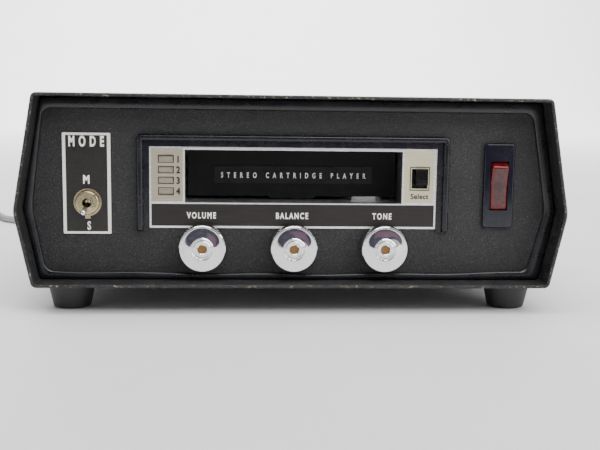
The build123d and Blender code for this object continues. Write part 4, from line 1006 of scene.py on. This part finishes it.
class PLAYER_OT_knobs(bpy.types.Operator):
    """Turn the three plated knobs and ridge their rims"""

    bl_idname = "player.knobs"
    bl_label = "Knobs"

    def execute(self, context):
        looks = context.scene.player_knobs
        plate = metal("knob_plate", looks.metal, 0.05, (0.30, 0.27, 0.22), 0.22)
        steps = 2 * looks.ridges
        profile = [(-6.20, 2.05), (-7.20, 2.15), (-7.45, 2.4), (-7.5, 3.9), (-7.3, 4.2), (-6.5, 4.35), (-6.5, 4.75)]
        profile += [(-7.1, 4.9), (-7.25, 5.1), (-7.1, 5.35), (-6.95, 5.6), (-6.6, 7.8), (-6.2, 9.9), (-6.25, 10.35)]
        profile += [(-6.2, 10.75), (-5.9, 11.1), (-5.5, 11.45), (-1.0, 11.5), (-0.2, 11.3), (0.2, 10.8), (0.2, 8.0)]
        profile += [(-4.2, 8.0), (-4.2, 3.8), (-0.6, 3.8), (-0.6, 2.05), (-6.20, 2.05)]
        for name in ("volume", "balance", "tone"):
            low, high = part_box(f"{name}_knob")
            x, z = (low[0] + high[0]) / 2, (low[2] + high[2]) / 2
            centre = Vector((x, high[1] - 0.2 * MM, z))
            bm = bmesh.new()
            lathe(bm, [(a * MM, r * MM) for a, r in profile], centre, "Y", steps)
            for vert in bm.verts:
                away = vert.co - centre
                away.y = 0.0
                turn = math.atan2(away.z, away.x) / math.tau * steps
                if away.length > 11.4 * MM and round(turn) % 2:
                    vert.co -= away.normalized() * 0.34 * MM
            knob = finish(bm, f"{name}_dial", name, plate, 28)
            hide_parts(f"{name}_knob")
            paint(metal("shaft_brass", (0.30, 0.17, 0.065), 0.5, (0.12, 0.07, 0.03), 0.6), f"{name}_shaft")
        return {"FINISHED"}


class PLAYER_OT_toggle(bpy.types.Operator):
    """Print the mode plate and plate the toggle"""

    bl_idname = "player.toggle"
    bl_label = "Mode toggle"

    def execute(self, context):
        looks = context.scene.player_letters
        paint(label_plate(), "mode_plate")
        warm = metal("toggle_nickel", (0.55, 0.47, 0.30), 0.26, (0.22, 0.16, 0.07), 0.5)
        paint(warm, "toggle_nut", "toggle_washer", "toggle_body")
        paint(metal("lever_chrome", (0.80, 0.80, 0.82), 0.12, spots=0.15), "toggle_lever")
        ink = moulded("plate_ink", looks.white, 0.5, 0.05)
        middle = (PLATE_LOW[0] + PLATE_HIGH[0]) / 2
        y = PLATE_LOW[1]
        words("mode_word", looks.mode, 4.9 * MM, (middle, y, 78.7 * MM), CASE, ink, 0.58, 0.055, 1.95)
        words("mode_mono", "M", 4.0 * MM, (middle - 0.2 * MM, y, 61.0 * MM), CASE, ink, 0.76, 0.055)
        words("mode_stereo", "S", 4.0 * MM, (middle + 0.8 * MM, y, 38.9 * MM), CASE, ink, 0.66, 0.05)
        return {"FINISHED"}


class PLAYER_OT_rocker(bpy.types.Operator):
    """Give the mains rocker its gloss surround and its red button"""

    bl_idname = "player.rocker"
    bl_label = "Mains rocker"

    def execute(self, context):
        paint(moulded("rocker_gloss", (0.006, 0.008, 0.014), 0.12, 0.05), "rocker_housing")
        self.cap()
        paint(glass(), "rocker_lamp")
        return {"FINISHED"}

    @staticmethod
    def cap():
        """The red cap: a shallow vee across, rounded over its ends, with its edges bevelled."""
        low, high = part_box("rocker_button")
        joints = {joint["name"]: joint for joint in frame["record"]["behaviour"]["joints"]}
        pivot = Vector(joints["rocker_tilt"]["pos_m"])
        reach, dip, half = 12.85, 6.4, (high[0] - low[0]) / 2 / MM
        half = min(half, 4.1)
        turns = [math.radians(-4.0 + 40.6 * i / 8) for i in range(9)]
        arc = [(-reach * math.sin(a), reach * math.cos(a)) for a in turns]
        line = [*arc, (-dip, 0.0), *[(y, -z) for y, z in reversed(arc)]]
        bm = bmesh.new()
        verts = [bm.verts.new((-half * MM, y * MM, z * MM)) for y, z in line]
        face = bm.faces.new(verts)
        made = bmesh.ops.extrude_face_region(bm, geom=[face])
        moved = [item for item in made["geom"] if isinstance(item, bmesh.types.BMVert)]
        bmesh.ops.translate(bm, verts=moved, vec=(2 * half * MM, 0, 0))
        bmesh.ops.recalc_face_normals(bm, faces=bm.faces)
        edges = [e for e in bm.edges if e.calc_face_angle(0.0) > 0.4 and min(v.co.y for v in e.verts) < 0.0]
        bmesh.ops.bevel(
            bm, geom=edges, offset=0.9 * MM, segments=3, affect="EDGES", profile=0.5, material=-1
        )
        lean = Matrix.Rotation(math.radians(7.0), 4, "X")
        bmesh.ops.transform(bm, matrix=Matrix.Translation(pivot) @ lean, verts=bm.verts)
        cap = finish(bm, "rocker_cap", "rocker", clear_red(), 25)
        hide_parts("rocker_button")


# ---------------------------------------------------------------- back and inside


class PLAYER_OT_back(bpy.types.Operator):
    """Paint the back panel and what stands on it"""

    bl_idname = "player.back"
    bl_label = "Back"

    def execute(self, context):
        paint(granular_paint("back_paint", (0.012, 0.012, 0.0125), (0.05, 0.05, 0.051), False), "rear_panel")
        sink = metal("sink_black", (0.03, 0.03, 0.032), 0.42, (0.10, 0.10, 0.10), 0.3, (1.0, 1.0, 0.05))
        paint(sink, "heat_sink")
        paint(moulded("socket_black", (0.010, 0.010, 0.010), 0.35), "speaker_sockets", "fuse_holder")
        screws = metal("screw_nickel", (0.66, 0.65, 0.62), 0.24)
        paint(screws, "rear_screws", "power_transistors", "pot_nuts")
        return {"FINISHED"}


class PLAYER_OT_inside(bpy.types.Operator):
    """Finish the chassis, the tape drive, the supply and the amplifier board"""

    bl_idname = "player.inside"
    bl_label = "Inside"

    def execute(self, context):
        zinc = metal("zinc_plate", (0.62, 0.63, 0.62), 0.34, (0.42, 0.40, 0.33), 0.4)
        paint(zinc, "chassis_tray", "cartridge_guide", "transport_plate", "head_carriage", "solenoid_plunger")
        paint(zinc, "foot_screws", "door_pin", "control_pots")
        paint(metal("can_aluminium", (0.74, 0.75, 0.76), 0.28), "drive_motor", "filter_capacitors")
        steel = metal("core_steel", (0.30, 0.30, 0.31), 0.40, (0.16, 0.11, 0.07), 0.45, (1.0, 0.1, 1.0))
        paint(steel, "flywheel", "transformer_core")
        paint(metal("turned_brass", (0.72, 0.55, 0.28), 0.25), "motor_pulley", "capstan_bearing")
        copper = metal("winding_copper", (0.62, 0.27, 0.12), 0.35, (0.16, 0.07, 0.04), 0.4, (1.0, 1.0, 0.1))
        paint(copper, "transformer_winding", "solenoid_body")
        paint(metal("head_chrome", (0.78, 0.78, 0.79), 0.12), "tape_head")
        paint(rubber("belt_rubber", (0.012, 0.012, 0.012), 0.6), "drive_belt")
        paint(moulded("cam_nylon", (0.55, 0.53, 0.47), 0.42), "track_cam")
        paint(board_finish(), "amplifier_board")
        return {"FINISHED"}


# ---------------------------------------------------------------- add-on

PIECES = (
    PLAYER_OT_stage,
    PLAYER_OT_lead,
    PLAYER_OT_case,
    PLAYER_OT_edging,
    PLAYER_OT_front,
    PLAYER_OT_door,
    PLAYER_OT_knobs,
    PLAYER_OT_toggle,
    PLAYER_OT_rocker,
    PLAYER_OT_back,
    PLAYER_OT_inside,
)


class PLAYER_PT_finish(bpy.types.Panel):
    """The player's settings and the buttons that make its pieces"""

    bl_idname = "PLAYER_PT_finish"
    bl_label = "Cartridge player"
    bl_space_type = "VIEW_3D"
    bl_region_type = "UI"
    bl_category = "Player"

    def draw(self, context):
        for attribute, looks in SETTINGS.items():
            group = self.layout.box()
            for name in looks.__annotations__:
                group.prop(getattr(context.scene, attribute), name)
        for piece in PIECES:
            self.layout.operator(piece.bl_idname)


def register():
    """Registers the settings, the pieces and the panel."""
    for attribute, looks in SETTINGS.items():
        bpy.utils.register_class(looks)
        setattr(bpy.types.Scene, attribute, PointerProperty(type=looks))
    for made in (*PIECES, PLAYER_PT_finish):
        bpy.utils.register_class(made)


def unregister():
    """Takes away what register added."""
    for made in reversed((*PIECES, PLAYER_PT_finish)):
        bpy.utils.unregister_class(made)
    for attribute, looks in SETTINGS.items():
        delattr(bpy.types.Scene, attribute)
        bpy.utils.unregister_class(looks)


def plain(bounds):
    """Bounds as plain lists of numbers."""
    return [[float(c) for c in corner] for corner in bounds]


def main():
    """Makes every piece."""
    register()
    for piece in PIECES:
        group, name = piece.bl_idname.split(".")
        getattr(getattr(bpy.ops, group), name)()


if __name__ == "__main__":
    main()
